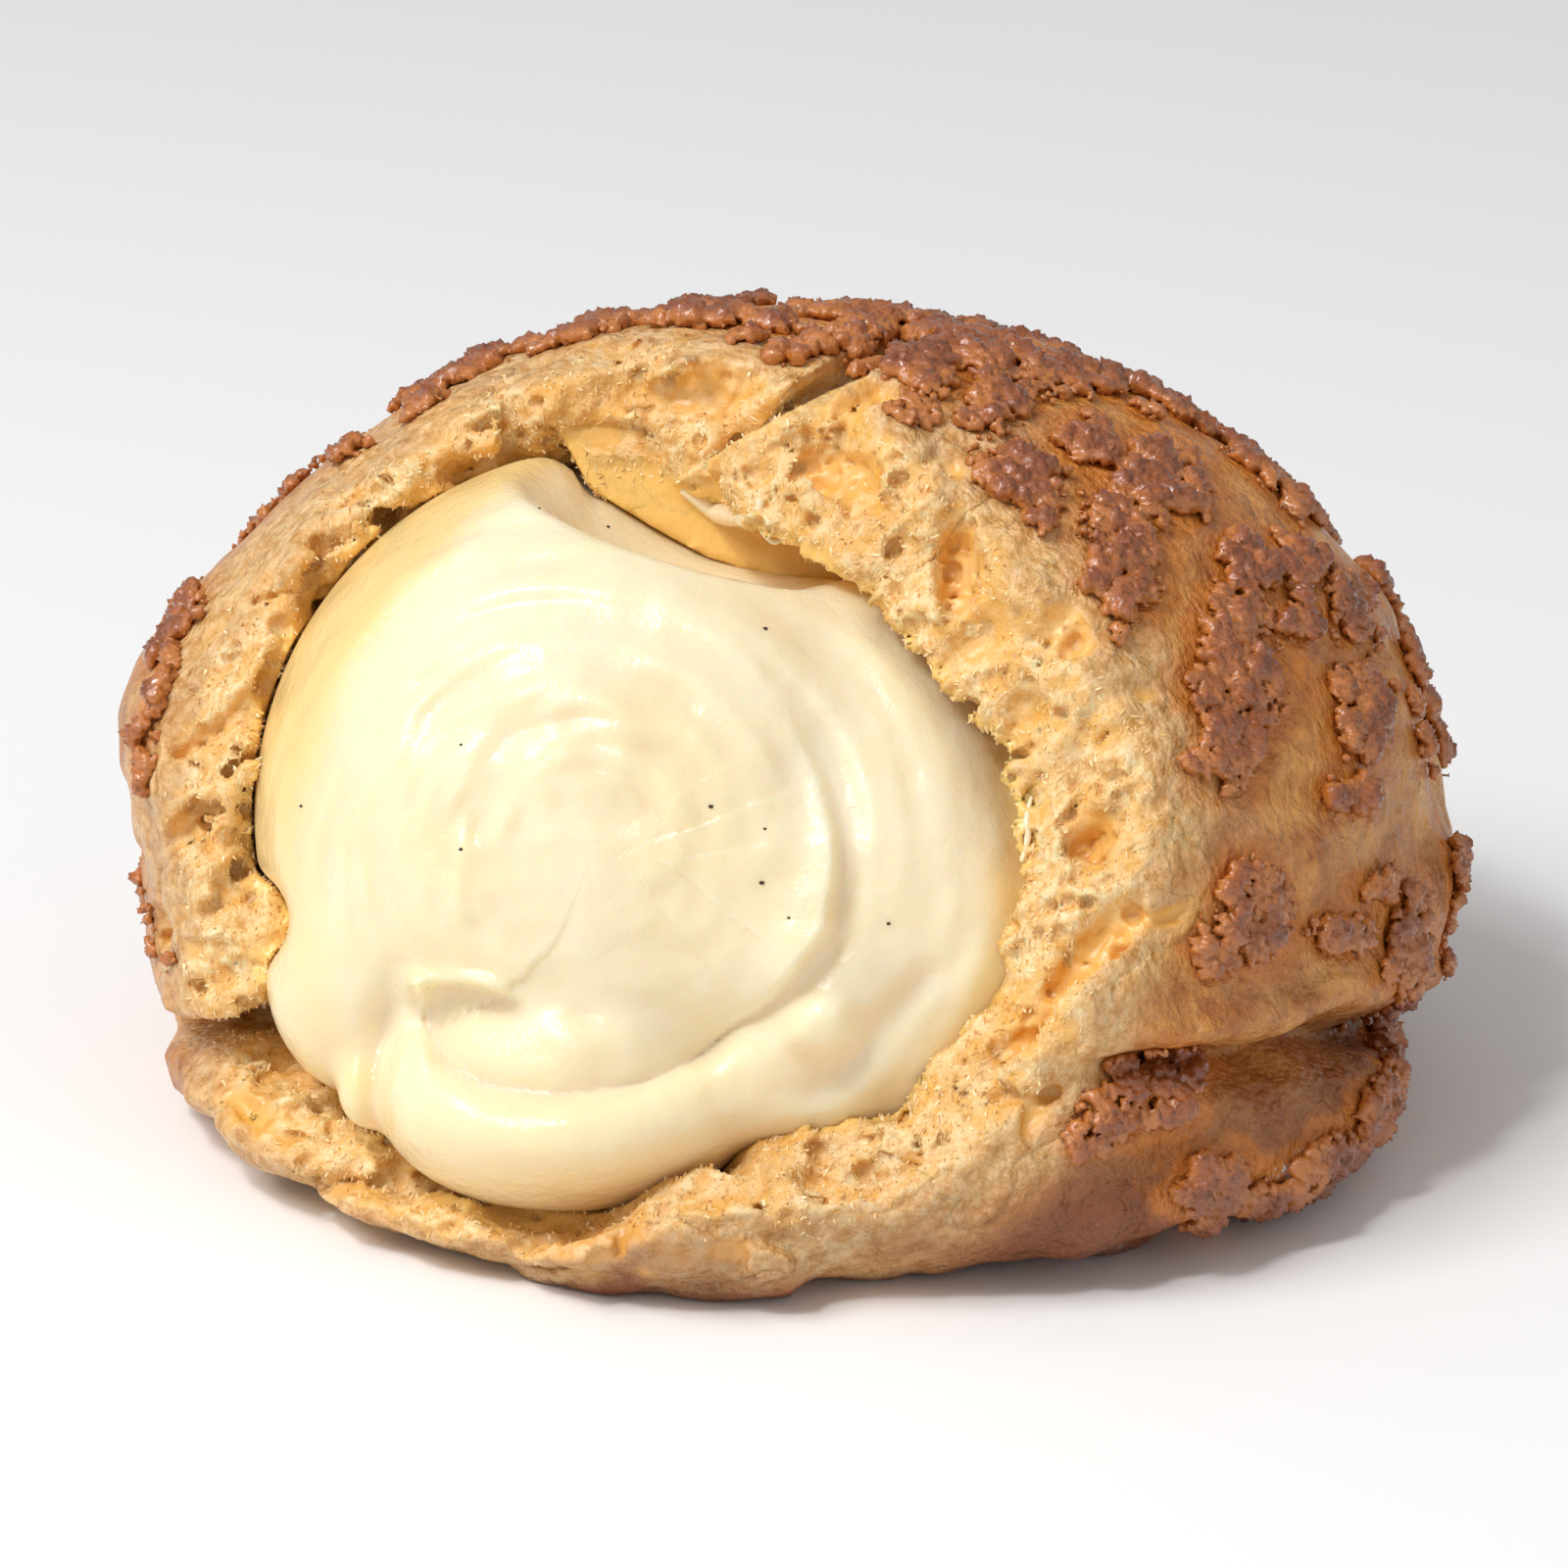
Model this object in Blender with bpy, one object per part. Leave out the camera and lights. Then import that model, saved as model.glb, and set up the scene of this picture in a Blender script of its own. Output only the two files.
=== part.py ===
"""A cookie-topped cream puff, torn open at the front so that its custard bulges out.

Two solids: the hollow choux shell with its torn mouth, and the custard that fills it.
Metres, +Z up. The puff stands on Z = 0 and its torn mouth faces -Y and a little up.
"""

import math

import bmesh
import bpy
import numpy as np
from mathutils import Matrix

MM = 0.001

# ---- driving dimensions ---------------------------------------------------------------
HALF_WIDTH = 43.6 * MM  # widest half size of the baked dome, left to right
HALF_DEPTH = 41.8 * MM  # the same, front to back
GIRTH_HEIGHT = 18 * MM  # height of the widest ring
CROWN_HEIGHT = 53.6 * MM  # top of the dome
FOOT_DEPTH = 22 * MM  # how far the lower half would run down if the base weren't flat
CROWN_POWER = 2.0  # an ellipse
FOOT_POWER = 4.0  # steeper sides towards the flat base
CROWN_FADE = 14 * MM  # lumps and slumps die away over this much height below the top
WALL = 8.5 * MM  # thickness of the baked wall
FLOOR = 5.5 * MM  # thickness of the baked bottom
GAP = 0.35 * MM  # clearance between the custard and the choux
FACET_ALLOWANCE = 1.6  # the gap is measured along rays that meet the wall at a slant
CUSTARD_FOOT = 4.2 * MM  # lowest the custard runs where it has pushed through the mouth
POCKET_FLOOR = 36.9 * MM  # lowest place of the custard's sunken top, under the roof
POCKET_AT = (-4 * MM, -6 * MM)  # where that is
POCKET_HALF = (11.5 * MM, 12.5 * MM)  # how far from there the top has risen by POCKET_RISE
POCKET_RISE = 6.5 * MM

# The crease in the skin where the roof's left flap tucks under its right flap.
CREASE_START = (2 * MM, -14 * MM)
CREASE_END = (12 * MM, 3 * MM)
CREASE_DEPTH = 2.4 * MM
CREASE_HALF_WIDTH = 2.2 * MM
CREASE_END_SHARE = 0.2  # how deep its far end still is

# The mouth is drawn on a plane that leans back by this much, so it faces the front and up.
MOUTH_TILT = math.radians(20)
MOUTH_AXES = np.array([
    [1, 0, 0],  # right
    [0, math.sin(MOUTH_TILT), math.cos(MOUTH_TILT)],  # up
    [0, -math.cos(MOUTH_TILT), math.sin(MOUTH_TILT)],  # out
])
MOUTH_CENTRE = (-11 * MM, 20 * MM)  # right and up, on that plane

# Half sizes of the torn mouth, in millimetres, at equal steps of turn, starting on its
# right and going over the top: where the tear leaves the skin, and where it meets the hollow.
SKIN_RIM = [35, 30.2, 30.5, 30, 30.5, 28.9, 28.5, 29, 30.7, 31.5, 31.5, 31, 29.2, 29.2, 31, 33]
HOLLOW_RIM = [25, 23.2, 20.4, 20.2, 23.4, 22.2, 21.6, 22, 23.2, 24.4, 26.4, 27.2, 26, 25.4, 26.8, 27]
MOUTH_FLARE = 30 * MM  # how far past the skin the cut that makes the mouth goes on widening
THINNEST_TEAR = 5 * MM  # the torn wall is at least this deep

# Where the custard has pushed out, in millimetres on the mouth's plane: right, up and out of
# each lobe's middle, then its half sizes the same way.
MASS = ((-10.5, 18.3, 15.5), (24.8, 24.5, 25))
RIGHT_LOBE = ((2.5, 10, 24), (12.2, 12, 13.5))
LEFT_LOBE = ((-27.5, 8, 23), (6.5, 8, 8.5))
LOWER_LOBE = ((-14, 1, 28), (13, 8.5, 11.5))
LAST_ROUND = ((-12.8, 17.4, 24), (19, 18.6, 19.8))
SOFT_BLEND, LOBE_BLEND, FOLD_BLEND = 5 * MM, 2.5 * MM, 1.4 * MM
CORE = (-9 * MM, -10 * MM, 22 * MM)  # a point well inside it, from which its mesh is made

# ---- mesh sizes -----------------------------------------------------------------------
DOME_FINENESS = (64, 32)  # segments and rings
CUSTARD_FINENESS = (50, 30)
MOUTH_SEGMENTS = 64
RAY_LENGTH = 80 * MM
RAY_STEPS = 160
RAY_HALVINGS = 18


# ---- shape of the object as fields: below zero inside, above zero outside ---------------


def smooth_min(a, b, blend):
    """The lower of two fields, rounded where they meet over the length blend."""
    mix = np.clip(0.5 + 0.5 * (b - a) / blend, 0, 1)
    return b * (1 - mix) + a * mix - blend * mix * (1 - mix)


def bump(turn, height, at_turn, at_height, turn_size, height_size):
    """1 at a place on the dome, falling to 0 around it. Turn is in degrees from +X."""
    off = (turn - at_turn + 180) % 360 - 180
    return np.exp(-((off / turn_size) ** 2) - ((height - at_height) / height_size) ** 2)


def dome_relief(turn, height):
    """How far the baked skin stands off the plain dome: slumps, cookie lumps, skirt and waist."""
    lean = np.radians(turn)
    relief = 0.7 * MM * np.sin(3 * lean + 0.6) + 0.5 * MM * np.sin(5 * lean - 1.1 + 60 * height)
    relief += 2.4 * MM * bump(turn, height, 172, 31 * MM, 14, 7 * MM)  # cookie lump on the left
    relief += 1.6 * MM * bump(turn, height, -12, 17 * MM, 11, 5 * MM)  # cookie lump on the right
    relief += 1.8 * MM * bump(turn, height, -38, 5 * MM, 20, 4 * MM)  # cookie skirt, front right
    relief += 1.5 * MM * bump(turn, height, 212, 3.5 * MM, 26, 3 * MM)  # base flap, front left
    relief += 1.2 * MM * bump(turn, height, -62, 7 * MM, 9, 5 * MM)  # fold beside the skirt
    relief -= 3.2 * MM * bump(turn, height, -30, 11 * MM, 38, 1.9 * MM)  # waist under the right lip
    relief -= 3.2 * MM * bump(turn, height, 196, 8.5 * MM, 22, 1.7 * MM)  # waist on the left
    return relief * np.clip((CROWN_HEIGHT - height) / CROWN_FADE, 0, 1)


def roof_crease(x, y):
    """How deep the crease in the roof is, over a place seen from above."""
    run_x, run_y = CREASE_END[0] - CREASE_START[0], CREASE_END[1] - CREASE_START[1]
    from_x, from_y = x - CREASE_START[0], y - CREASE_START[1]
    along = np.clip((from_x * run_x + from_y * run_y) / (run_x**2 + run_y**2), 0, 1)
    away = np.hypot(from_x - along * run_x, from_y - along * run_y)
    depth = CREASE_DEPTH * (1 - (1 - CREASE_END_SHARE) * along)
    return depth * np.exp(-((away / CREASE_HALF_WIDTH) ** 2))


def dome(p, inset=0.0):
    """The baked outside of the puff, or the same form inset all round."""
    x, y, z = p.T
    turn = np.degrees(np.arctan2(y / HALF_DEPTH, x / HALF_WIDTH))
    crown = z > GIRTH_HEIGHT
    tall = np.where(crown, CROWN_HEIGHT - GIRTH_HEIGHT, FOOT_DEPTH) - inset
    power = np.where(crown, CROWN_POWER, FOOT_POWER)
    across = np.hypot(x / (HALF_WIDTH - inset), y / (HALF_DEPTH - inset))
    up = np.abs(z - GIRTH_HEIGHT) / tall
    shape = (across**power + up**power) ** (1 / power) - 1
    if inset > 0:
        return shape * HALF_WIDTH
    return shape * HALF_WIDTH - dome_relief(turn, z) + np.where(crown, roof_crease(x, y), 0)


def baked_outside(p):
    return np.maximum(dome(p), -p[:, 2])


def on_mouth_plane(p):
    """A point's place on the mouth's plane (right, up) and its height out of it."""
    return p @ MOUTH_AXES.T


def off_mouth_plane(right, up, out):
    """The point that stands at this place on the mouth's plane, at this height out of it."""
    return np.stack([right, up, out], axis=-1) @ MOUTH_AXES


def lobe(q, middle, half_sizes):
    """An ellipsoid's field, near enough in metres, for points given on the mouth's plane."""
    reach = np.linalg.norm((q / MM - np.array(middle)) / np.array(half_sizes), axis=1)
    return (reach - 1) * min(half_sizes) * MM


def room(p):
    """What the custard was piped into: the hollow, and the round mass that it pushed out."""
    q = on_mouth_plane(p)
    fill = np.maximum(dome(p, WALL), FLOOR - p[:, 2])
    whole = smooth_min(fill, lobe(q, *MASS), SOFT_BLEND)
    whole = smooth_min(whole, lobe(q, *RIGHT_LOBE), LOBE_BLEND)
    whole = smooth_min(whole, lobe(q, *LEFT_LOBE), LOBE_BLEND)
    whole = smooth_min(whole, lobe(q, *LOWER_LOBE), FOLD_BLEND)
    return np.maximum(whole, CUSTARD_FOOT - p[:, 2])


def custard(p):
    """The room with the last round of piping on its front, less the air under the roof."""
    whole = smooth_min(room(p), lobe(on_mouth_plane(p), *LAST_ROUND), FOLD_BLEND)
    off_x = (p[:, 0] - POCKET_AT[0]) / POCKET_HALF[0]
    off_y = (p[:, 1] - POCKET_AT[1]) / POCKET_HALF[1]
    sunk_top = POCKET_FLOOR + POCKET_RISE * (off_x**2 + off_y**2)
    return -smooth_min(-whole, sunk_top - p[:, 2], LOBE_BLEND)


# ---- turning the fields into meshes -------------------------------------------------------


def last_inside(field, starts, ways, reach):
    """How far each ray runs from its start before it leaves the field for the last time."""
    steps = np.linspace(0, reach, RAY_STEPS)
    inside = np.array([field(starts + ways * s) < 0 for s in steps])
    last = np.where(inside.any(0), RAY_STEPS - 1 - np.argmax(inside[::-1], axis=0), 0)
    low = steps[last]
    high = low + reach / (RAY_STEPS - 1)
    for _ in range(RAY_HALVINGS):
        middle = (low + high) / 2
        within = field(starts + ways * middle[:, None]) < 0
        low = np.where(within, middle, low)
        high = np.where(within, high, middle)
    return low


def finish_mesh(name, bm, collection, material=None):
    """Makes an object from a bmesh. A cutter has no material and stays out of the render."""
    mesh = bpy.data.meshes.new(name)
    bmesh.ops.recalc_face_normals(bm, faces=bm.faces)
    bm.to_mesh(mesh)
    bm.free()
    obj = bpy.data.objects.new(name, mesh)
    collection.objects.link(obj)
    if material:
        mesh.materials.append(material)
        mesh.shade_smooth()
        mesh.set_sharp_from_angle(angle=math.radians(50))
    else:
        obj.hide_render = True
        obj.display_type = "WIRE"
    return obj


def blob(name, field, centre, fineness, collection, material=None, pole_tip=0.0, grown=0.0):
    """A sphere whose points are pushed out along their own rays to the edge of the field.

    Its pole is tipped towards the front by pole_tip, so the finest faces lie that way.
    """
    bm = bmesh.new()
    segments, rings = fineness
    turned = Matrix.Rotation(pole_tip, 4, "X")
    bmesh.ops.create_uvsphere(bm, u_segments=segments, v_segments=rings, radius=1, matrix=turned)
    ways = np.array([v.co.normalized() for v in bm.verts])
    starts = np.tile(np.array(centre), (len(ways), 1))
    points = starts + ways * (last_inside(field, starts, ways, RAY_LENGTH) + grown)[:, None]
    for vert, point in zip(bm.verts, points):
        vert.co = point
    return finish_mesh(name, bm, collection, material)


def round_the_mouth(values, turns):
    """A smooth closed outline through values given at equal steps of turn."""
    count = len(values)
    place = turns / (2 * math.pi) * count
    before = np.floor(place).astype(int)
    share = place - before
    share = share * share * (3 - 2 * share)
    values = np.array(values) * MM
    return values[before % count] * (1 - share) + values[(before + 1) % count] * share


def depth_below(field, right, up):
    """How far out of the mouth's plane the field starts; past its edge, where it passes nearest."""
    reach = np.linspace(60 * MM, -30 * MM, RAY_STEPS)
    values = np.array([field(off_mouth_plane(right, up, np.full_like(right, out))) for out in reach])
    inside = values < 0
    first = np.where(inside.any(0), np.argmax(inside, axis=0), np.argmin(values, axis=0))
    return reach[first]


def mouth_cutter(collection):
    """The torn opening: a flaring plug, lofted from the hollow's rim out through the skin's rim."""
    turns = np.linspace(0, 2 * math.pi, MOUTH_SEGMENTS, endpoint=False)
    ragged = 1 + 0.02 * np.sin(7 * turns + 1) + 0.015 * np.sin(13 * turns + 2.2)

    def rim(sizes, field):
        """One rim as (right, up, out), out on the surface of the field."""
        size = round_the_mouth(sizes, turns) * ragged
        right = MOUTH_CENTRE[0] + size * np.cos(turns)
        up = MOUTH_CENTRE[1] + size * np.sin(turns)
        return np.stack([right, up, depth_below(field, right, up)], axis=1)

    hollow = rim(HOLLOW_RIM, lambda p: dome(p, WALL))
    skin = rim(SKIN_RIM, dome)
    depth = np.maximum(skin[:, 2] - hollow[:, 2], THINNEST_TEAR)
    skin[:, 2] = hollow[:, 2] + depth
    beyond = skin + (skin - hollow) * (MOUTH_FLARE / depth)[:, None]
    inmost = np.array([*MOUTH_CENTRE, hollow[:, 2].mean() - THINNEST_TEAR])
    deep = (hollow + inmost) / 2
    loops = [deep, hollow, skin, beyond]

    bm = bmesh.new()
    bmesh.ops.create_cone(bm, cap_ends=True, segments=MOUTH_SEGMENTS, radius1=1, radius2=1, depth=2)
    lengthwise = [e for e in bm.edges if abs(e.verts[0].co.z - e.verts[1].co.z) > 1]
    bmesh.ops.subdivide_edges(bm, edges=lengthwise, cuts=len(loops) - 2)
    turn_step = 2 * math.pi / MOUTH_SEGMENTS
    for vert in bm.verts:
        ring = round((vert.co.z + 1) / 2 * (len(loops) - 1))
        segment = round(math.atan2(vert.co.y, vert.co.x) / turn_step) % MOUTH_SEGMENTS
        vert.co = off_mouth_plane(*loops[ring][segment])
    bmesh.ops.triangulate(bm, faces=bm.faces)
    return finish_mesh("mouth_cutter", bm, collection)


def cut(obj, cutter):
    modifier = obj.modifiers.new("cut_" + cutter.name, "BOOLEAN")
    modifier.operation = "DIFFERENCE"
    modifier.object = cutter
    modifier.solver = "EXACT"


def paint(name, colour, roughness):
    material = bpy.data.materials.new(name)
    material.use_nodes = True
    shader = material.node_tree.nodes["Principled BSDF"]
    shader.inputs["Base Color"].default_value = (*colour, 1)
    shader.inputs["Roughness"].default_value = roughness
    shader.inputs["Metallic"].default_value = 0
    return material


def new_collection(name):
    collection = bpy.data.collections.new(name)
    bpy.context.scene.collection.children.link(collection)
    return collection


# ---- the cream puff -----------------------------------------------------------------------
FACE_FRONT = math.radians(90) - MOUTH_TILT  # tips a pole from straight up to out of the mouth


def make_custard(collection):
    cream = paint("custard", (0.87, 0.69, 0.38), 0.3)
    blob("custard_cream", custard, CORE, CUSTARD_FINENESS, collection, cream, FACE_FRONT)


def make_shell(collection, cutters):
    """The baked dome, less the room for the custard and the torn mouth."""
    crust = paint("baked_choux", (0.55, 0.25, 0.09), 0.6)
    middle = (0, 0, GIRTH_HEIGHT)
    shell = blob("choux_shell", baked_outside, middle, DOME_FINENESS, collection, crust)
    clearance = GAP * FACET_ALLOWANCE
    hollow = blob("hollow", room, CORE, CUSTARD_FINENESS, cutters, None, FACE_FRONT, clearance)
    cut(shell, hollow)
    cut(shell, mouth_cutter(cutters))


def main():
    for obj in list(bpy.data.objects):
        bpy.data.objects.remove(obj)
    puff = new_collection("cream_puff")
    cutters = new_collection("cutters")
    make_custard(puff)
    make_shell(puff, cutters)


main()
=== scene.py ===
"""A cookie-topped cream puff, torn open at the front, with vanilla custard bulging out of it."""

import math

import bmesh
import bpy
import numpy as np
from mathutils import Matrix, Vector


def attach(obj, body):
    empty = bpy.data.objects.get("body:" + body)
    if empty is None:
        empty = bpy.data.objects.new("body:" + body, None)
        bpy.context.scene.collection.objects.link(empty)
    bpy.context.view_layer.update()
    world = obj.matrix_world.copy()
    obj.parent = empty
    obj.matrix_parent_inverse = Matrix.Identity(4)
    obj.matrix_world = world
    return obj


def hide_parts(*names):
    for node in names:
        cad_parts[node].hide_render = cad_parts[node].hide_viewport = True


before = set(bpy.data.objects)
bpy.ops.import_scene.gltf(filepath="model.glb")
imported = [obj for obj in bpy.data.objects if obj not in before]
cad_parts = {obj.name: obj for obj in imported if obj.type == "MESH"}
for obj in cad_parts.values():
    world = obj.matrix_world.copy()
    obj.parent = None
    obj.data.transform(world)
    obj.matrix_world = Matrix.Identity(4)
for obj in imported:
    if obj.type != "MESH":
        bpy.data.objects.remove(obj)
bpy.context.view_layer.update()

# ---- choux pastry ---------------------------------------------------------------------
# The puff itself: choux dough piped as one dome, which the oven blew up into a hollow shell.
# It is modelled as a solid dome less the room for the custard and less the torn mouth, on a
# fine grid, so that lip, crevices and torn edges are real shape. Lengths are millimetres here.
MM = 0.001
HALF_WIDTH = 43.6
HALF_DEPTH = 41.8
GIRTH_HEIGHT = 18
CROWN_HEIGHT = 52.8
FOOT_DEPTH = 22
CROWN_POWER = 2.0
FOOT_POWER = 4.0
CROWN_FADE = 14
WALL = 8.5
FLOOR = 5.5
PASTRY_STEP = 0.66

# The mouth is torn open on a plane that leans back by this much: right, up and out of it.
MOUTH_TILT = math.radians(20)
MOUTH_RIGHT, MOUTH_UP = -11, 20
SKIN_RIM = [34, 29.4, 29.0, 28, 28.2, 26.9, 26.6, 27.4, 29.6, 30.8, 32.0, 31, 27.6, 29.4, 32.2, 32.0]
HOLLOW_RIM = [25, 23.2, 20.4, 20.2, 23.4, 21.2, 19.8, 19.8, 20.8, 22.4, 25, 25.4, 24.5, 24.8, 26.8, 27]


def noise(x, y, z, size, seed):
    """Smooth random values from -1 to 1 that change over about this many millimetres."""
    table = np.random.default_rng(seed).uniform(-1, 1, (32, 32, 32)).astype(np.float32)
    turned = (0.8 * x + 0.6 * y, -0.6 * x + 0.8 * y + 0.3 * z, z - 0.25 * x)
    low, high, share = [], [], []
    for c in turned:
        cell = np.floor(c / size)
        part = (c / size - cell).astype(np.float32)
        share.append(part * part * (3 - 2 * part))
        low.append(cell.astype(np.int32) % 32)
        high.append((cell.astype(np.int32) + 1) % 32)
    total = 0
    for i, weight_x in ((low[0], 1 - share[0]), (high[0], share[0])):
        for j, weight_y in ((low[1], 1 - share[1]), (high[1], share[1])):
            for k, weight_z in ((low[2], 1 - share[2]), (high[2], share[2])):
                total = total + table[i, j, k] * weight_x * weight_y * weight_z
    return total


def soft_step(value, start, end):
    share = np.clip((value - start) / (end - start), 0, 1)
    return share * share * (3 - 2 * share)


def smooth_min(a, b, blend):
    """The lower of two fields, rounded where they meet over the length blend."""
    mix = np.clip(0.5 + 0.5 * (b - a) / blend, 0, 1)
    return b * (1 - mix) + a * mix - blend * mix * (1 - mix)


def on_mouth(x, y, z):
    """A point's place on the mouth's plane: right, up and out of it."""
    sine, cosine = math.sin(MOUTH_TILT), math.cos(MOUTH_TILT)
    return x, y * sine + z * cosine, z * sine - y * cosine


def bump(turn, height, at_turn, at_height, turn_size, height_size):
    """1 at a place on the dome, falling to 0 around it. Turn is in degrees from +X."""
    off = (turn - at_turn + 180) % 360 - 180
    return np.exp(-((off / turn_size) ** 2) - ((height - at_height) / height_size) ** 2)


def roof_overlap(right, up):
    """The crease where the roof's left flap tucks under its right one, which stands proud."""
    along = (right + 4) * 0.88 + (up - 42.4) * 0.478
    across = (right + 4) * -0.478 + (up - 42.4) * 0.88
    held = soft_step(along, -6, 2) * (1 - soft_step(along, 9, 20))
    proud = 1.2 * np.exp(-np.abs(np.minimum(across, 0)) / 6)
    tucked = -3.2 * np.exp(-np.maximum(across, 0) / 4.5)
    return held * np.where(across < 0, proud, tucked)


def skin_relief(x, y, z, turn):
    """How far the baked skin stands off the plain dome: slumps, lumps, lips and crevices."""
    lean = np.radians(turn)
    relief = 0.7 * np.sin(3 * lean + 0.6) + 0.5 * np.sin(5 * lean - 1.1 + 0.06 * z)
    relief = relief + 3.4 * bump(turn, z, 176, 26.5, 15, 7)
    relief = relief + 1.6 * bump(turn, z, -12, 17, 11, 5)
    relief = relief + 2.4 * bump(turn, z, -38, 5, 17, 3.6)
    relief = relief + 1.8 * bump(turn, z, 214, 3.5, 28, 3)
    relief = relief + 1.4 * bump(turn, z, -64, 6, 8, 4.5)
    # Crevices under the lip, which run up towards the mouth on both sides.
    wander = 1.3 * noise(x, y, z, 7, 4)
    right_turn = (turn + 180) % 360 - 180
    right_height = 8 + 0.148 * np.clip(-10 - right_turn, -10, 55)
    right_side = soft_step(right_turn, -70, -50) * (1 - soft_step(right_turn, -4, 10))
    left_turn = turn % 360
    left_height = 7.5 + 0.13 * np.clip(left_turn - 195, -15, 40)
    left_side = soft_step(left_turn, 172, 186) * (1 - soft_step(left_turn, 238, 250))
    relief = relief - 4.8 * right_side * np.exp(-(((z - right_height - wander) / 1.6) ** 2))
    relief = relief + 1.5 * right_side * np.exp(-(((z - right_height - wander - 3.0) / 2.0) ** 2))
    relief = relief - 4.2 * left_side * np.exp(-(((z - left_height - wander) / 1.3) ** 2))
    relief = relief * np.clip((CROWN_HEIGHT - z) / CROWN_FADE, 0, 1)
    right, up, out = on_mouth(x, y, z)
    relief = relief + np.where(out > 5, roof_overlap(right, up), 0)
    relief = relief + 0.55 * noise(x, y, z, 9, 1) + 0.3 * noise(x, y, z, 4, 2) + 0.3 * noise(x, y, z, 1.8, 8)
    front = bump(turn, z, -90, 0, 40, 4.5)
    flake_top = -7.6 - 0.02 * (right + 8) ** 2 + 0.9 * noise(x, y, z, 3, 5)
    flake = (1 - soft_step(up - flake_top, -0.3, 0.3)) * soft_step(right, -18, -16.5) * (1 - soft_step(right, 0, 1.5))
    relief = relief - 1.7 * front + 1.1 * flake * (out > 20)
    folds = bump(turn, z, -52, 4, 20, 5)
    relief = relief + 1.5 * folds * noise(x, y, 0.6 * z, 3.2, 7)
    foot = np.exp(-((z / 4) ** 2))
    ragged = noise(x, y, 0.5 * z, 5, 3) + 0.6 * noise(x, y, 0.5 * z, 2.2, 6)
    return relief + 0.8 * foot * ragged


def dome(x, y, z, inset=0.0):
    """Below zero inside the baked outside of the puff, or the same form inset all round."""
    crown = z > GIRTH_HEIGHT
    tall = np.where(crown, CROWN_HEIGHT - GIRTH_HEIGHT, FOOT_DEPTH) - inset
    power = np.where(crown, CROWN_POWER, FOOT_POWER)
    across = np.hypot(x / (HALF_WIDTH - inset), y / (HALF_DEPTH - inset))
    up = np.abs(z - GIRTH_HEIGHT) / tall
    shape = ((across**power + up**power) ** (1 / power) - 1) * HALF_WIDTH
    if inset > 0:
        return shape
    turn = np.degrees(np.arctan2(y / HALF_DEPTH, x / HALF_WIDTH))
    return shape - skin_relief(x, y, z, turn)


def lobe(place, middle, half_sizes):
    """An ellipsoid's field, near enough in millimetres, on the mouth's plane."""
    reach = sum(((c - m) / h) ** 2 for c, m, h in zip(place, middle, half_sizes))
    return (np.sqrt(reach) - 1) * min(half_sizes)


def custard_top(right):
    """How far up the custard comes under the roof, where a gap shows above it."""
    return np.interp(right, [-22, -16, -13.2, -9, -5.4, -0.8, 4.2, 7, 11, 15], [58, 46, 40.6, 38, 36, 34.4, 34, 34.5, 38, 50])


def lip_foot(right):
    """How far down the torn lip of the roof hangs over that gap."""
    return np.interp(right, [-20, -12.6, -7.5, -3.2, -1, 4, 5.5, 9, 14], [50, 42.2, 39.6, 38.3, 38.6, 36.8, 35, 33, 33])


def custard_room(x, y, z):
    """What the custard was piped into: the hollow, and the round mass that it pushed out."""
    place = on_mouth(x, y, z)
    right, up, out = place
    fill = np.maximum(dome(x, y, z, WALL), FLOOR - z)
    lip = up - lip_foot(right) - 14 * soft_step(-out, -9, -5)
    fill = np.maximum(fill, lip)
    mass = np.maximum(lobe(place, (-10.8, 18.3, 15.5), (24.5, 24.5, 25)), 0.8 * (up - custard_top(right)))
    whole = smooth_min(fill, mass, 2)
    whole = smooth_min(whole, lobe(place, (2.5, 10, 24), (12.2, 12, 13.5)), 2.5)
    whole = smooth_min(whole, lobe(place, (-27.5, 8, 23), (6.5, 8, 8.5)), 2.5)
    notch = 2.6 - np.hypot(right + 35.0, up - 11.4)
    whole = -smooth_min(-whole, np.where(out > 8, -notch, 9), 1.5)
    whole = smooth_min(whole, lobe(place, (-27.3, 0.9, 27.6), (1.8, 2.7, 2.8)), 1.0)
    whole = smooth_min(whole, lobe(place, (-14, 1, 28), (13, 8.5, 11.5)), 1.4)
    return np.maximum(whole, 4.2 - z)


def round_the_mouth(sizes, turn):
    """A smooth closed outline through sizes given at equal steps of turn, in radians."""
    count = len(sizes)
    place = np.mod(turn / (2 * math.pi), 1) * count
    first = np.floor(place).astype(int)
    t = (place - first).astype(np.float32)
    a, b, c, d = (np.array(sizes, np.float32)[(first + k) % count] for k in (-1, 0, 1, 2))
    return b + 0.5 * t * (c - a + t * (2 * a - 5 * b + 4 * c - d + t * (3 * (b - c) + d - a)))


# Hollows torn deep into the wall: right, up, their half sizes and how deep they are.
TORN_HOLLOWS = [
    (11.0, 34.0, 1.6, 3.4, 2.4), (15.2, 24.2, 1.5, 3.0, 1.2), (-30.6, 32.2, 1.9, 2.4, 2.2), (-12.4, 43.6, 2.4, 0.9, 2.2),
    (4.0, 41.0, 2.6, 1.3, 2.0), (19.0, 17.0, 1.5, 2.6, 1.8), (-21.0, 41.0, 2.6, 1.2, 1.8),
]


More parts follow.
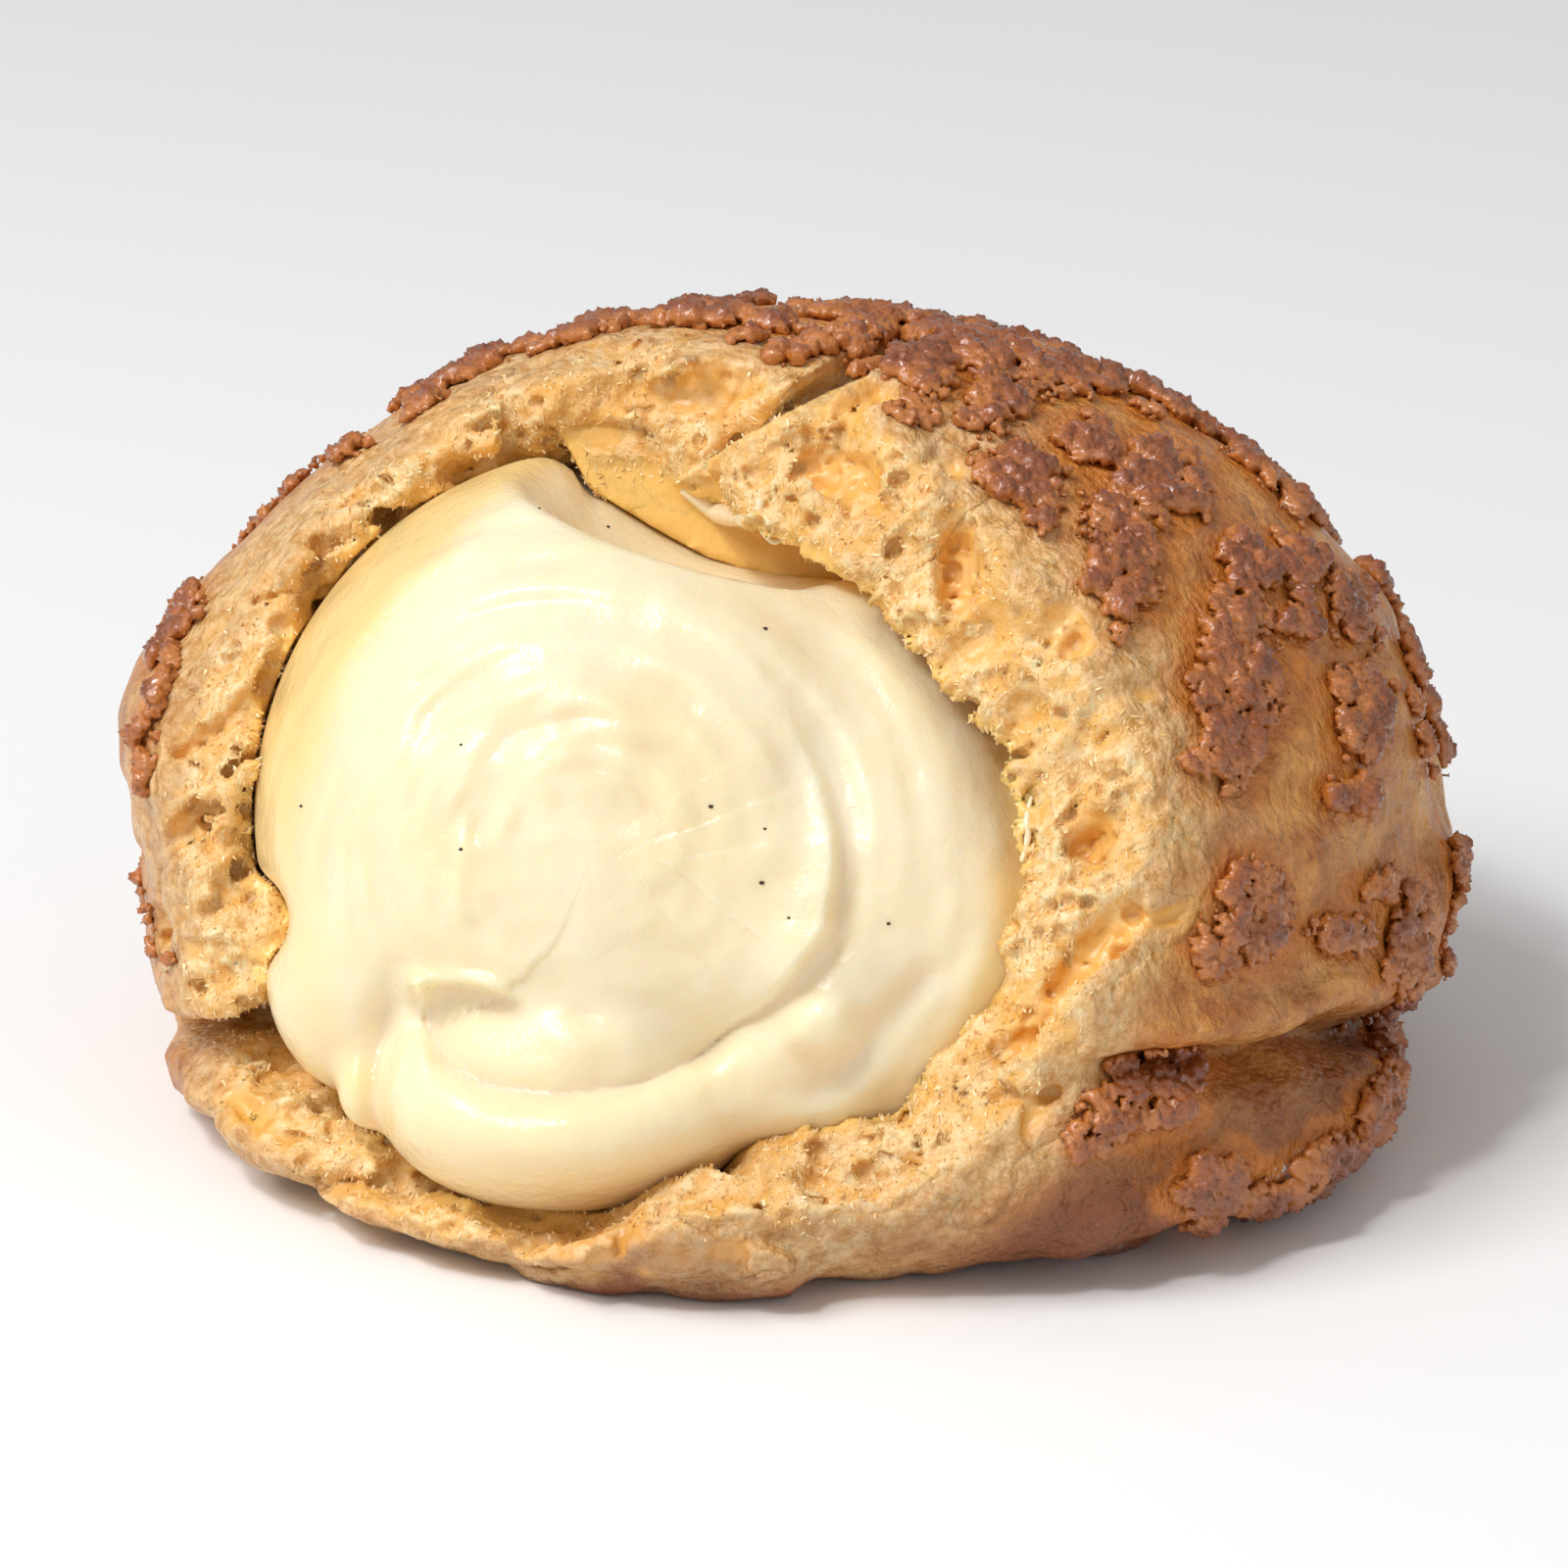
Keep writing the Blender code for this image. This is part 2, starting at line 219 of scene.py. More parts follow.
def hollows(x, y, z, depth):
    """How deep the crumb is scooped out: big soft hollows, with sharp ridges left between them."""
    right, up, out = on_mouth(x, y, z)
    big = soft_step(noise(x, y, z, 4.6, 14), 0.0, 0.62) * (1.9 - 0.9 * soft_step(-right, 24, 30))
    small = soft_step(noise(x, y, z, 2.1, 15), 0.05, 0.6) * 0.8
    named = np.zeros_like(right)
    for at_right, at_up, half_right, half_up, depth in TORN_HOLLOWS:
        away = ((right - at_right) / half_right) ** 2 + ((up - at_up) / half_up) ** 2
        named = np.maximum(named, depth * np.exp(-(away**1.6)))
    layers = 1.0 * soft_step(noise(0.3 * x, 0.3 * y, z, 1.1, 20), -0.1, 0.5)
    layers = layers * (1 - soft_step(z, 7, 11)) * (1 - soft_step(right, -24, -12))
    whole = np.maximum(np.maximum(big, named), layers) + small
    return whole * (1 - 0.8 * soft_step(depth, 5, 9))


def towards_front(y, z):
    """Above zero on the side of the puff that faces out of the mouth, below zero behind it."""
    return -y + np.where(z > GIRTH_HEIGHT, 0.52, 0.3) * (z - GIRTH_HEIGHT)


def torn_wall(x, y, z, depth):
    """Below zero in the torn mouth, above zero in the wall left round it."""
    right, up, out = on_mouth(x, y, z)
    across, along = right - MOUTH_RIGHT, up - MOUTH_UP
    turn = np.arctan2(along, across)
    share = np.clip(depth / WALL, -0.3, 1.4)
    rim = round_the_mouth(SKIN_RIM, turn) * (1 - share) + round_the_mouth(HOLLOW_RIM, turn) * share
    ragged = 1.1 * noise(x, y, z, 6, 11) + 0.8 * noise(x, y, z, 2.6, 12)
    edge = np.hypot(across, along) - rim + ragged
    edge = np.maximum(edge, 4.4 + 1.0 * noise(x, y, z, 5, 19) + 0.5 * ragged - z)
    return np.maximum(edge, -towards_front(y, z))


def roof_groove(right, up, out, depth):
    """Below zero in the groove under the edge of the roof's right flap."""
    along = (right + 4) * 0.88 + (up - 42.4) * 0.478
    across = (right + 4) * -0.478 + (up - 42.4) * 0.88
    slab = np.abs(across - 0.9 + 0.4 * depth) - 1.05
    ends = np.maximum(-7 - along, along - 15)
    return np.maximum(np.maximum(slab, ends), np.maximum(depth - 3.4, 5 - out))


def puff(x, y, z, skin, tear):
    """Below zero in the pastry: the dome less the custard's room, the mouth and the groove."""
    right, up, out = on_mouth(x, y, z)
    outside = -smooth_min(-skin, tear, 2.6)
    solid = np.maximum(np.maximum(outside, -custard_room(x, y, z) + 0.25), -z)
    solid = np.maximum(solid, -roof_groove(right, up, out, -skin))
    behind = np.maximum(np.abs(out - 12.2) - 1.2, custard_top(right) - 0.5 - up)
    behind = np.maximum(np.maximum(behind, skin + 2), np.abs(right + 3) - 13)
    return smooth_min(solid, behind, 1.5)


def grid(low, high, step):
    """Places at equal steps through a box."""
    axes = [np.arange(a, b + step, step, dtype=np.float32) for a, b in zip(low, high)]
    return np.meshgrid(*axes, indexing="ij")


def surface_of(values, low, step):
    """The closed surface where values pass zero: a point in each cell that it crosses, and quads."""
    inside = values < 0
    shape = np.array(values.shape) - 1
    corners = np.zeros(shape, np.uint8)
    for i in (0, 1):
        for j in (0, 1):
            for k in (0, 1):
                corners += inside[i:shape[0] + i, j:shape[1] + j, k:shape[2] + k]
    crossed = (corners > 0) & (corners < 8)
    cells = np.argwhere(crossed)
    number = np.full(shape, -1, np.int32)
    number[crossed] = np.arange(len(cells))
    total = np.zeros((len(cells), 3))
    hits = np.zeros(len(cells))
    quads = []
    for axis in range(3):
        side, other = [k for k in range(3) if k != axis]
        for a in (0, 1):
            for b in (0, 1):
                start = cells.copy()
                start[:, side] += a
                start[:, other] += b
                end = start.copy()
                end[:, axis] += 1
                at_start, at_end = values[tuple(start.T)], values[tuple(end.T)]
                cut = (at_start < 0) != (at_end < 0)
                place = start[cut].astype(float)
                place[:, axis] += at_start[cut] / (at_start[cut] - at_end[cut])
                total[cut] += place
                hits[cut] += 1
        ahead = np.moveaxis(inside, axis, 0)
        edges = np.argwhere(np.moveaxis(ahead[:-1] != ahead[1:], 0, axis))
        limit = shape.copy()
        limit[axis] = 1 << 30
        edges = edges[np.all((edges > 0) | (np.arange(3) == axis), axis=1) & np.all(edges < limit, axis=1)]
        ring = []
        for a, b in ((-1, -1), (0, -1), (0, 0), (-1, 0)):
            cell = edges.copy()
            cell[:, side] += a
            cell[:, other] += b
            ring.append(number[tuple(cell.T)])
        ring = np.stack(ring, axis=1)
        leaving = inside[tuple(edges.T)] ^ (axis == 1)
        ring[~leaving] = ring[~leaving][:, ::-1]
        quads.append(ring)
    return np.array(low) + step * total / hits[:, None], np.concatenate(quads)


def mesh_object(name, points, faces):
    """A smooth-shaded object from points in millimetres."""
    mesh = bpy.data.meshes.new(name)
    mesh.vertices.add(len(points))
    mesh.vertices.foreach_set("co", (np.asarray(points) * MM).astype(np.float32).ravel())
    mesh.loops.add(faces.size)
    mesh.loops.foreach_set("vertex_index", faces.astype(np.int32).ravel())
    mesh.polygons.add(len(faces))
    mesh.polygons.foreach_set("loop_start", np.arange(0, faces.size, faces.shape[1], dtype=np.int32))
    mesh.update(calc_edges=True)
    mesh.validate()
    mesh.shade_smooth()
    obj = bpy.data.objects.new(name, mesh)
    bpy.context.scene.collection.objects.link(obj)
    return obj


def note(obj, name, values):
    """Keeps a value at each point of a piece, for its material or for what is scattered on it."""
    layer = obj.data.attributes.new(name, "FLOAT", "POINT")
    layer.data.foreach_set("value", np.asarray(values, np.float32).ravel())


def points_of(obj):
    points = np.empty(len(obj.data.vertices) * 3, np.float32)
    obj.data.vertices.foreach_get("co", points)
    return (points.reshape(-1, 3) / MM).T


# Where the cookie crust has stayed on in islands round the mouth: right, up and half sizes.
COOKIE_ISLANDS = [
    (7.4, 44.2, 3.4, 2.4), (8.5, 46.8, 2.6, 1.4), (13.4, 44.7, 2.4, 2.0), (13.3, 40.0, 4.2, 2.6),
    (16.2, 38.0, 1.4, 1.3), (21.0, 34.6, 3.0, 4.6), (18.0, 30.0, 3.8, 2.2), (19.4, 42.6, 2.2, 1.9),
    (24.0, 39.9, 4.0, 3.2), (29.8, 34.6, 2.0, 2.4), (28.7, 30.8, 2.6, 2.4), (33.3, 34.9, 2.2, 1.6),
    (32.8, 31.0, 1.9, 1.7), (28.7, 26.7, 4.0, 2.8), (28.0, 22.2, 2.6, 3.0), (24.5, 21.1, 1.8, 1.2),
    (37.4, 25.4, 2.4, 3.6), (37.0, 32.2, 1.6, 2.8), (29.6, 12.0, 2.8, 3.2), (38.6, 13.5, 1.8, 1.5),
    (40.8, 10.1, 2.2, 4.0), (35.7, 10.7, 2.6, 1.3), (27.0, 9.6, 1.6, 1.6), (36.5, 20.0, 1.6, 1.4),
    (22.2, 0.6, 4.0, 2.8), (-39.6, 27.0, 3.2, 7.0), (-40.8, 21.5, 2.8, 4.6), (-28.4, 42.4, 2.2, 1.5), (-22.9, 44.8, 3.0, 1.8),
    (-41.3, 11.0, 1.6, 3.2), (27.0, -5.2, 3.0, 2.2), (31.5, -6.5, 3.0, 2.2), (35.5, -4.4, 3.0, 2.4), (38.8, -1.6, 2.4, 2.6),
    (40.6, 2.2, 1.6, 2.0), (25.0, 1.8, 2.4, 1.6), (20.0, -1.0, 2.0, 1.6),
]


def cookie_cover(x, y, z, grown=1.0):
    """0 where the skin is bare, 1 where the cookie crust covers it, or its islands grown."""
    right, up, out = on_mouth(x, y, z)
    wander_x, wander_y = 1.0 * noise(x, y, z, 2.2, 21), 1.0 * noise(x, y, z, 2.2, 22)
    islands = np.zeros_like(x)
    for at_right, at_up, half_right, half_up in COOKIE_ISLANDS:
        away = np.hypot((right + wander_x - at_right) / half_right, (up + wander_y - at_up) / half_up)
        islands = np.maximum(islands, 1 - soft_step(away / grown, 0.65, 1.08))
    patches = noise(x, 1.2 * y, 0.6 * z, 4.4, 23) + 0.8 * noise(x, y, z, 2.4, 24)
    high = soft_step(up + 0.6 * noise(x, y, z, 3, 25), 44.8, 47.5)
    back = 1 - np.where(right > 12, soft_step(out, 12, 21), soft_step(out, -4, 6))
    low = soft_step(z, 7, 13)
    spread = soft_step(patches + 1.15 * high + 0.4 * back * low - 0.54 + grown - 1, -0.12, 0.25)
    spread = spread * np.maximum(high, back * low)
    near = soft_step(out + 3 * noise(x, y, z, 3, 26), -4, 3)
    return np.maximum(islands * near, spread)


def finish_pastry(obj, detail):
    """Notes what the material and the scattering need: torn crumb, hollows, browning, and where shade and light are
    painted.
    """
    x, y, z = points_of(obj)
    depth = -dome(x, y, z)
    right, up, out = on_mouth(x, y, z)
    ragged = 0.5 * noise(x, y, z, 1.8, 32)
    tear = torn_wall(x, y, z, depth)
    near_mouth = 1 - soft_step(tear + 2.5 * noise(x, y, z, 3.5, 33), 1.5, 6.5)
    torn = soft_step(depth + ragged, 0.3, 1.3)
    note(obj, "torn", torn)
    note(obj, "frayed", near_mouth * soft_step(towards_front(y, z), -3, 2) * (1 - torn))
    scooped = hollows(x, y, z, depth)
    # Painted shade: the material paints the scooped pits a darker, warmer amber. The crumb's bump is softer in them
    # too.
    note(obj, "pit", torn * soft_step(scooped, 0.5, 2.0))
    fine = 0.42 * noise(x, y, z, 1.25, 16) + 0.24 * noise(x, y, z, 0.65, 17)
    # Painted shade: the material paints the crevices of the fine tearing a darker, warmer amber.
    note(obj, "crevice", 0.75 * torn * soft_step(-fine, 0.0, 0.28) * detail)
    # The inside wall of the hollow: the material paints it a lighter amber. This is partly its own smoother colour and
    # partly painted light, the glow of light through the thin roof.
    note(obj, "inner", 1 - soft_step(custard_room(x, y, z), 0.5, 1.8))
    note(obj, "fuzz", torn * (1 - soft_step(scooped, 0.3, 1.6)) * (tear < 1.6) * (depth < 11) * detail)
    # Browning and painted shade, towards darker browns. The foot and the crown are browned by the oven. It is also
    # darker towards the sides, low down from the middle rightwards, and on the front flake below the mouth. The strong
    # darkening low on the right, under the lip and away from the key light, is painted shade.
    low = 1 - soft_step(z, 3, 17)
    right_side = soft_step(right, 3, 20)
    bake = 0.85 * low * right_side + 0.3 * (1 - soft_step(z, 0, 2)) + 0.3 * low * soft_step(right, -20, -14)
    bake = bake + 0.3 * soft_step(up, 44, 52) + 0.2 * soft_step(np.abs(x), 36, 44)
    bake = bake + 0.6 * np.exp(-(((right + 8) / 9) ** 2)) * (1 - soft_step(up, -9, -6))
    note(obj, "bake", np.clip(bake + 0.2 * noise(x, y, z, 7, 31), 0, 1))
    drift = np.exp(-(((right - 32) / 4) ** 2) - ((up + 3.6) / 3) ** 2)
    note(obj, "flour", (1 - soft_step(z, 2, 9)) * soft_step(right, 5, 25) + 0.75 * drift)


low, high = (-50, -49, -2.4), (50, 49, 58)
x, y, z = grid(low, high, PASTRY_STEP)
skin = dome(x, y, z)
tear = torn_wall(x, y, z, -skin) - 1.0 - hollows(x, y, z, -skin)
pastry = mesh_object("choux_pastry", *surface_of(puff(x, y, z, skin, tear), low, PASTRY_STEP))
finish_pastry(pastry, 0)
x, y, z = points_of(pastry)
cover = cookie_cover(x, y, z) * (dome(x, y, z) > -0.5) * (z > 1.2)
note(pastry, "halo", cookie_cover(x, y, z, 1.5))
note(pastry, "cookie_front", cover * (y <= 0))
note(pastry, "cookie_back_left", cover * (y > 0) * (x <= 0))
note(pastry, "cookie_back_right", cover * (y > 0) * (x > 0))


def add(tree, kind, inputs=None, **settings):
    """Adds a node. Each input is a value, or another node's output to link from."""
    node = tree.nodes.new(kind)
    for key, value in settings.items():
        setattr(node, key, value)
    for key, value in (inputs or {}).items():
        if isinstance(value, bpy.types.NodeSocket):
            tree.links.new(value, node.inputs[key])
        else:
            node.inputs[key].default_value = value
    return node


def ramp(tree, source, stops):
    """A colour ramp through (place, colour) stops."""
    node = add(tree, "ShaderNodeValToRGB", {"Fac": source})
    elements = node.color_ramp.elements
    for index, (place, colour) in enumerate(stops):
        element = elements[index] if index < 2 else elements.new(place)
        element.position = place
        element.color = (*colour, 1)
    return node.outputs["Color"]


def mix(tree, share, first, second, blend="MIX"):
    node = tree.nodes.new("ShaderNodeMix")
    node.data_type, node.blend_type = "RGBA", blend
    for index, value in ((0, share), (6, first), (7, second)):
        if isinstance(value, bpy.types.NodeSocket):
            tree.links.new(value, node.inputs[index])
        elif index == 0:
            node.inputs[index].default_value = value
        else:
            node.inputs[index].default_value = (*value, 1)
    return node.outputs[2]


def math_node(tree, operation, *values):
    node = add(tree, "ShaderNodeMath", operation=operation)
    for index, value in enumerate(values):
        if isinstance(value, bpy.types.NodeSocket):
            tree.links.new(value, node.inputs[index])
        else:
            node.inputs[index].default_value = value
    return node.outputs[0]


def new_material(name):
    material = bpy.data.materials.new(name)
    material.use_nodes = True
    tree = material.node_tree
    return material, tree, tree.nodes["Principled BSDF"], add(tree, "ShaderNodeTexCoord").outputs["Object"]


def shader_group(name, inputs, outputs):
    """An empty shader group with its sockets, and its input and output nodes."""
    group = bpy.data.node_groups.new(name, "ShaderNodeTree")
    for in_out, sockets in (("INPUT", inputs), ("OUTPUT", outputs)):
        for socket_name, kind in sockets:
            group.interface.new_socket(socket_name, in_out=in_out, socket_type=kind)
    return group, group.nodes.new("NodeGroupInput"), group.nodes.new("NodeGroupOutput")


def use_group(tree, group, inputs):
    node = tree.nodes.new("ShaderNodeGroup")
    node.node_tree = group
    for key, value in inputs.items():
        if isinstance(value, bpy.types.NodeSocket):
            tree.links.new(value, node.inputs[key])
        else:
            node.inputs[key].default_value = value
    return node


# Crumb grain: small bubbles with thin walls, over softer lumps, as one height.
crumb_grain, grain_in, grain_out = shader_group(
    "crumb_grain",
    [("Place", "NodeSocketVector"), ("Bubbles per metre", "NodeSocketFloat")],
    [("Height", "NodeSocketFloat"), ("Walls", "NodeSocketFloat")],
)
cells = add(crumb_grain, "ShaderNodeTexVoronoi", {
    "Vector": grain_in.outputs[0], "Scale": grain_in.outputs[1], "Randomness": 1.0,
}, feature="SMOOTH_F1")
lumps = add(crumb_grain, "ShaderNodeTexNoise", {
    "Vector": grain_in.outputs[0], "Scale": grain_in.outputs[1], "Detail": 5.0, "Roughness": 0.65,
})
walls = math_node(crumb_grain, "POWER", cells.outputs["Distance"], 1.5)
height = math_node(crumb_grain, "ADD", math_node(crumb_grain, "MULTIPLY", walls, 0.8), lumps.outputs["Fac"])
crumb_grain.links.new(height, grain_out.inputs["Height"])
crumb_grain.links.new(walls, grain_out.inputs["Walls"])

# Crinkled film: the skin's blisters, drawn out down the puff, with sharp creases between them.
film_group, film_in, film_out = shader_group(
    "crinkled_film", [("Place", "NodeSocketVector")], [("Height", "NodeSocketFloat")]
)
pull = add(film_group, "ShaderNodeTexNoise", {"Vector": film_in.outputs[0], "Scale": 420.0, "Detail": 3.0})
pulled = add(film_group, "ShaderNodeVectorMath", {0: pull.outputs["Color"], 1: (0.0022, 0.0022, 0.0022)}, operation="MULTIPLY")
shifted = add(film_group, "ShaderNodeVectorMath", {0: film_in.outputs[0], 1: pulled.outputs[0]}, operation="ADD")
drawn = add(film_group, "ShaderNodeVectorMath", {0: shifted.outputs[0], 1: (1.0, 1.0, 0.55)}, operation="MULTIPLY")
blisters = add(film_group, "ShaderNodeTexVoronoi", {"Vector": drawn.outputs[0], "Scale": 620.0}, feature="F1")
pores = add(film_group, "ShaderNodeTexVoronoi", {"Vector": drawn.outputs[0], "Scale": 1900.0}, feature="F1")
domed = math_node(film_group, "MULTIPLY", blisters.outputs["Distance"], -1.6)
height = math_node(film_group, "SUBTRACT", domed, math_node(film_group, "MULTIPLY", pores.outputs["Distance"], 0.7))
film_group.links.new(height, film_out.inputs["Height"])

# Flour dusting: white specks where a mask lets them lie.
flour_dust, dust_in, dust_out = shader_group(
    "flour_dust",
    [("Place", "NodeSocketVector"), ("Amount", "NodeSocketFloat")],
    [("Mask", "NodeSocketFloat")],
)
specks = add(flour_dust, "ShaderNodeTexNoise", {
    "Vector": dust_in.outputs[0], "Scale": 1800.0, "Detail": 4.0, "Roughness": 0.7,
})
drifts = add(flour_dust, "ShaderNodeTexNoise", {"Vector": dust_in.outputs[0], "Scale": 190.0, "Detail": 2.0})
loose = math_node(flour_dust, "MULTIPLY", specks.outputs["Fac"], drifts.outputs["Fac"])
loose = math_node(flour_dust, "MULTIPLY", loose, dust_in.outputs[1])
mask = add(flour_dust, "ShaderNodeMapRange", {"Value": loose, "From Min": 0.31, "From Max": 0.37})
flour_dust.links.new(mask.outputs[0], dust_out.inputs["Mask"])

SKIN_GOLD = (0.76, 0.36, 0.09)
SKIN_TAN = (0.50, 0.17, 0.03)
SKIN_BROWN = (0.27, 0.074, 0.016)
SKIN_AMBER = (0.64, 0.21, 0.024)
CRUMB_PALE = (0.97, 0.77, 0.44)
CRUMB_GOLD = (0.86, 0.51, 0.165)
CRUMB_WARM = (0.84, 0.46, 0.12)
# Painted shade: the warm, darker amber of the crumb's pits and crevices.
CRUMB_SHADE_AMBER = (0.86, 0.46, 0.09)
# The hollow's inside wall: its own smoother amber, painted lighter as the glow of light through the thin roof.
HOLLOW_AMBER_AND_GLOW = (0.92, 0.58, 0.17)
FLOUR_WHITE = (0.86, 0.82, 0.78)


def choux_material():
    material, tree, shader, place = new_material("baked_choux")

    def kept(name):
        return add(tree, "ShaderNodeAttribute", attribute_name=name).outputs["Fac"]

    patches = add(tree, "ShaderNodeTexNoise", {"Vector": place, "Scale": 190.0, "Detail": 5.0, "Roughness": 0.6})
    specks = add(tree, "ShaderNodeTexNoise", {"Vector": place, "Scale": 1000.0, "Detail": 4.0, "Roughness": 0.7})
    skin = ramp(tree, patches.outputs["Fac"], [(0.4, SKIN_TAN), (0.58, SKIN_GOLD)])
    # Browner where the oven browned the skin, and painted shade low on the right.
    skin = mix(tree, kept("bake"), skin, SKIN_BROWN)
    halo = add(tree, "ShaderNodeMapRange", {"Value": kept("halo"), "From Max": 0.6, "To Max": 0.9})
    skin = mix(tree, halo.outputs[0], skin, SKIN_AMBER)
    skin = mix(tree, math_node(tree, "MULTIPLY", kept("frayed"), 0.6), skin, ramp(tree, specks.outputs["Fac"], [(0.4, CRUMB_GOLD), (0.65, CRUMB_PALE)]))
    shade = ramp(tree, specks.outputs["Fac"], [(0.32, (0.62, 0.52, 0.45)), (0.58, (1, 1, 1))])
    skin = mix(tree, 0.6, skin, shade, "MULTIPLY")
    crumb = ramp(tree, specks.outputs["Fac"], [(0.38, CRUMB_GOLD), (0.6, CRUMB_PALE)])
    warm = add(tree, "ShaderNodeMapRange", {"Value": patches.outputs["Fac"], "From Min": 0.46, "From Max": 0.62, "To Max": 0.75})
    crumb = mix(tree, warm.outputs[0], crumb, CRUMB_WARM)
    # Painted shade: darker, warmer amber in the scooped pits and in the crevices of the fine tearing.
    crumb = mix(tree, math_node(tree, "MULTIPLY", kept("pit"), 0.6), crumb, CRUMB_SHADE_AMBER)
    crumb = mix(tree, kept("crevice"), crumb, CRUMB_SHADE_AMBER)
    # The crumb takes the same browning and painted shade, at half strength.
    crumb = mix(tree, math_node(tree, "MULTIPLY", kept("bake"), 0.5), crumb, SKIN_TAN)
    # The hollow's inside wall: lighter amber, partly its own colour and partly painted light glowing through the thin
    # roof.
    crumb = mix(tree, kept("inner"), crumb, HOLLOW_AMBER_AND_GLOW)
    colour = mix(tree, kept("torn"), skin, crumb)
    dust = use_group(tree, flour_dust, {"Place": place, "Amount": kept("flour")})
    colour = mix(tree, dust.outputs["Mask"], colour, FLOUR_WHITE)
    grain = use_group(tree, crumb_grain, {"Place": place, "Bubbles per metre": 1800.0})
    sponge = use_group(tree, crumb_grain, {"Place": place, "Bubbles per metre": 700.0})
    film = use_group(tree, film_group, {"Place": place})
    spongy = math_node(tree, "ADD", math_node(tree, "MULTIPLY", sponge.outputs["Height"], 2.0), grain.outputs["Height"])
    spongy = math_node(tree, "MULTIPLY", spongy, math_node(tree, "SUBTRACT", 1.0, math_node(tree, "MULTIPLY", math_node(tree, "MAXIMUM", kept("pit"), kept("inner")), 0.8)))
    crinkled = math_node(tree, "ADD", film.outputs["Height"], math_node(tree, "MULTIPLY", specks.outputs["Fac"], 1.6))
    crinkled = math_node(tree, "ADD", math_node(tree, "MULTIPLY", crinkled, 1.3), grain.outputs["Height"])
    either = add(tree, "ShaderNodeMix", {0: kept("torn"), 2: crinkled, 3: spongy}, data_type="FLOAT")
    tree.links.new(colour, shader.inputs["Base Color"])
    rough = add(tree, "ShaderNodeMapRange", {"Value": specks.outputs["Fac"], "From Min": 0.35, "From Max": 0.65, "To Min": 0.2, "To Max": 0.42})
    tree.links.new(rough.outputs[0], shader.inputs["Roughness"])
    bump_node = add(tree, "ShaderNodeBump", {"Height": either.outputs[0], "Strength": 0.9, "Distance": 0.00022})
    tree.links.new(bump_node.outputs["Normal"], shader.inputs["Normal"])
    shader.inputs["Subsurface Weight"].default_value = 0.4
    shader.inputs["Subsurface Radius"].default_value = (1.0, 0.7, 0.45)
    shader.inputs["Subsurface Scale"].default_value = 0.0006
    shader.inputs["Specular IOR Level"].default_value = 0.6
    return material


baked_choux = choux_material()
pastry.data.materials.append(baked_choux)
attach(pastry, "root")
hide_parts("choux_shell")

# ---- torn crumb -----------------------------------------------------------------------
# The face where the wall was pulled apart: spongy crumb with hollows, pinholes and sharp ridges.
# Each quarter of the way round is a band of the same wall on a finer grid, just proud of it.
CRUMB_STEP = 0.29
BAND_DEPTH = 2.6
CRUMB_QUARTERS = [("right", -52, 38), ("top", 38, 128), ("left", 128, 218), ("foot", 218, 308)]


def crumb_band(x, y, z, start_turn, end_turn):
    """The finely torn crumb between two turns round the mouth, in degrees."""
    right, up, out = on_mouth(x, y, z)
    skin = dome(x, y, z)
    fine = 0.42 * noise(x, y, z, 1.25, 16) + 0.24 * noise(x, y, z, 0.65, 17)
    tear = torn_wall(x, y, z, -skin) - hollows(x, y, z, -skin) + fine
    tucked = 0.25 * soft_step(tear, 1.2, 2.0)
    solid = puff(x, y, z, skin + tucked + 0.35 * fine, tear)
    solid = np.maximum(solid, tear - BAND_DEPTH)
    for turn, side in ((start_turn, -1), (end_turn, 1)):
        away = (up - MOUTH_UP) * math.cos(math.radians(turn)) - (right - MOUTH_RIGHT) * math.sin(math.radians(turn))
        away = away + 1.2 * noise(x, y, z, 3, 18) + 0.5 * noise(x, y, z, 1.2, 19)
        solid = np.maximum(solid, side * away - 0.12)
    return solid, tear, skin


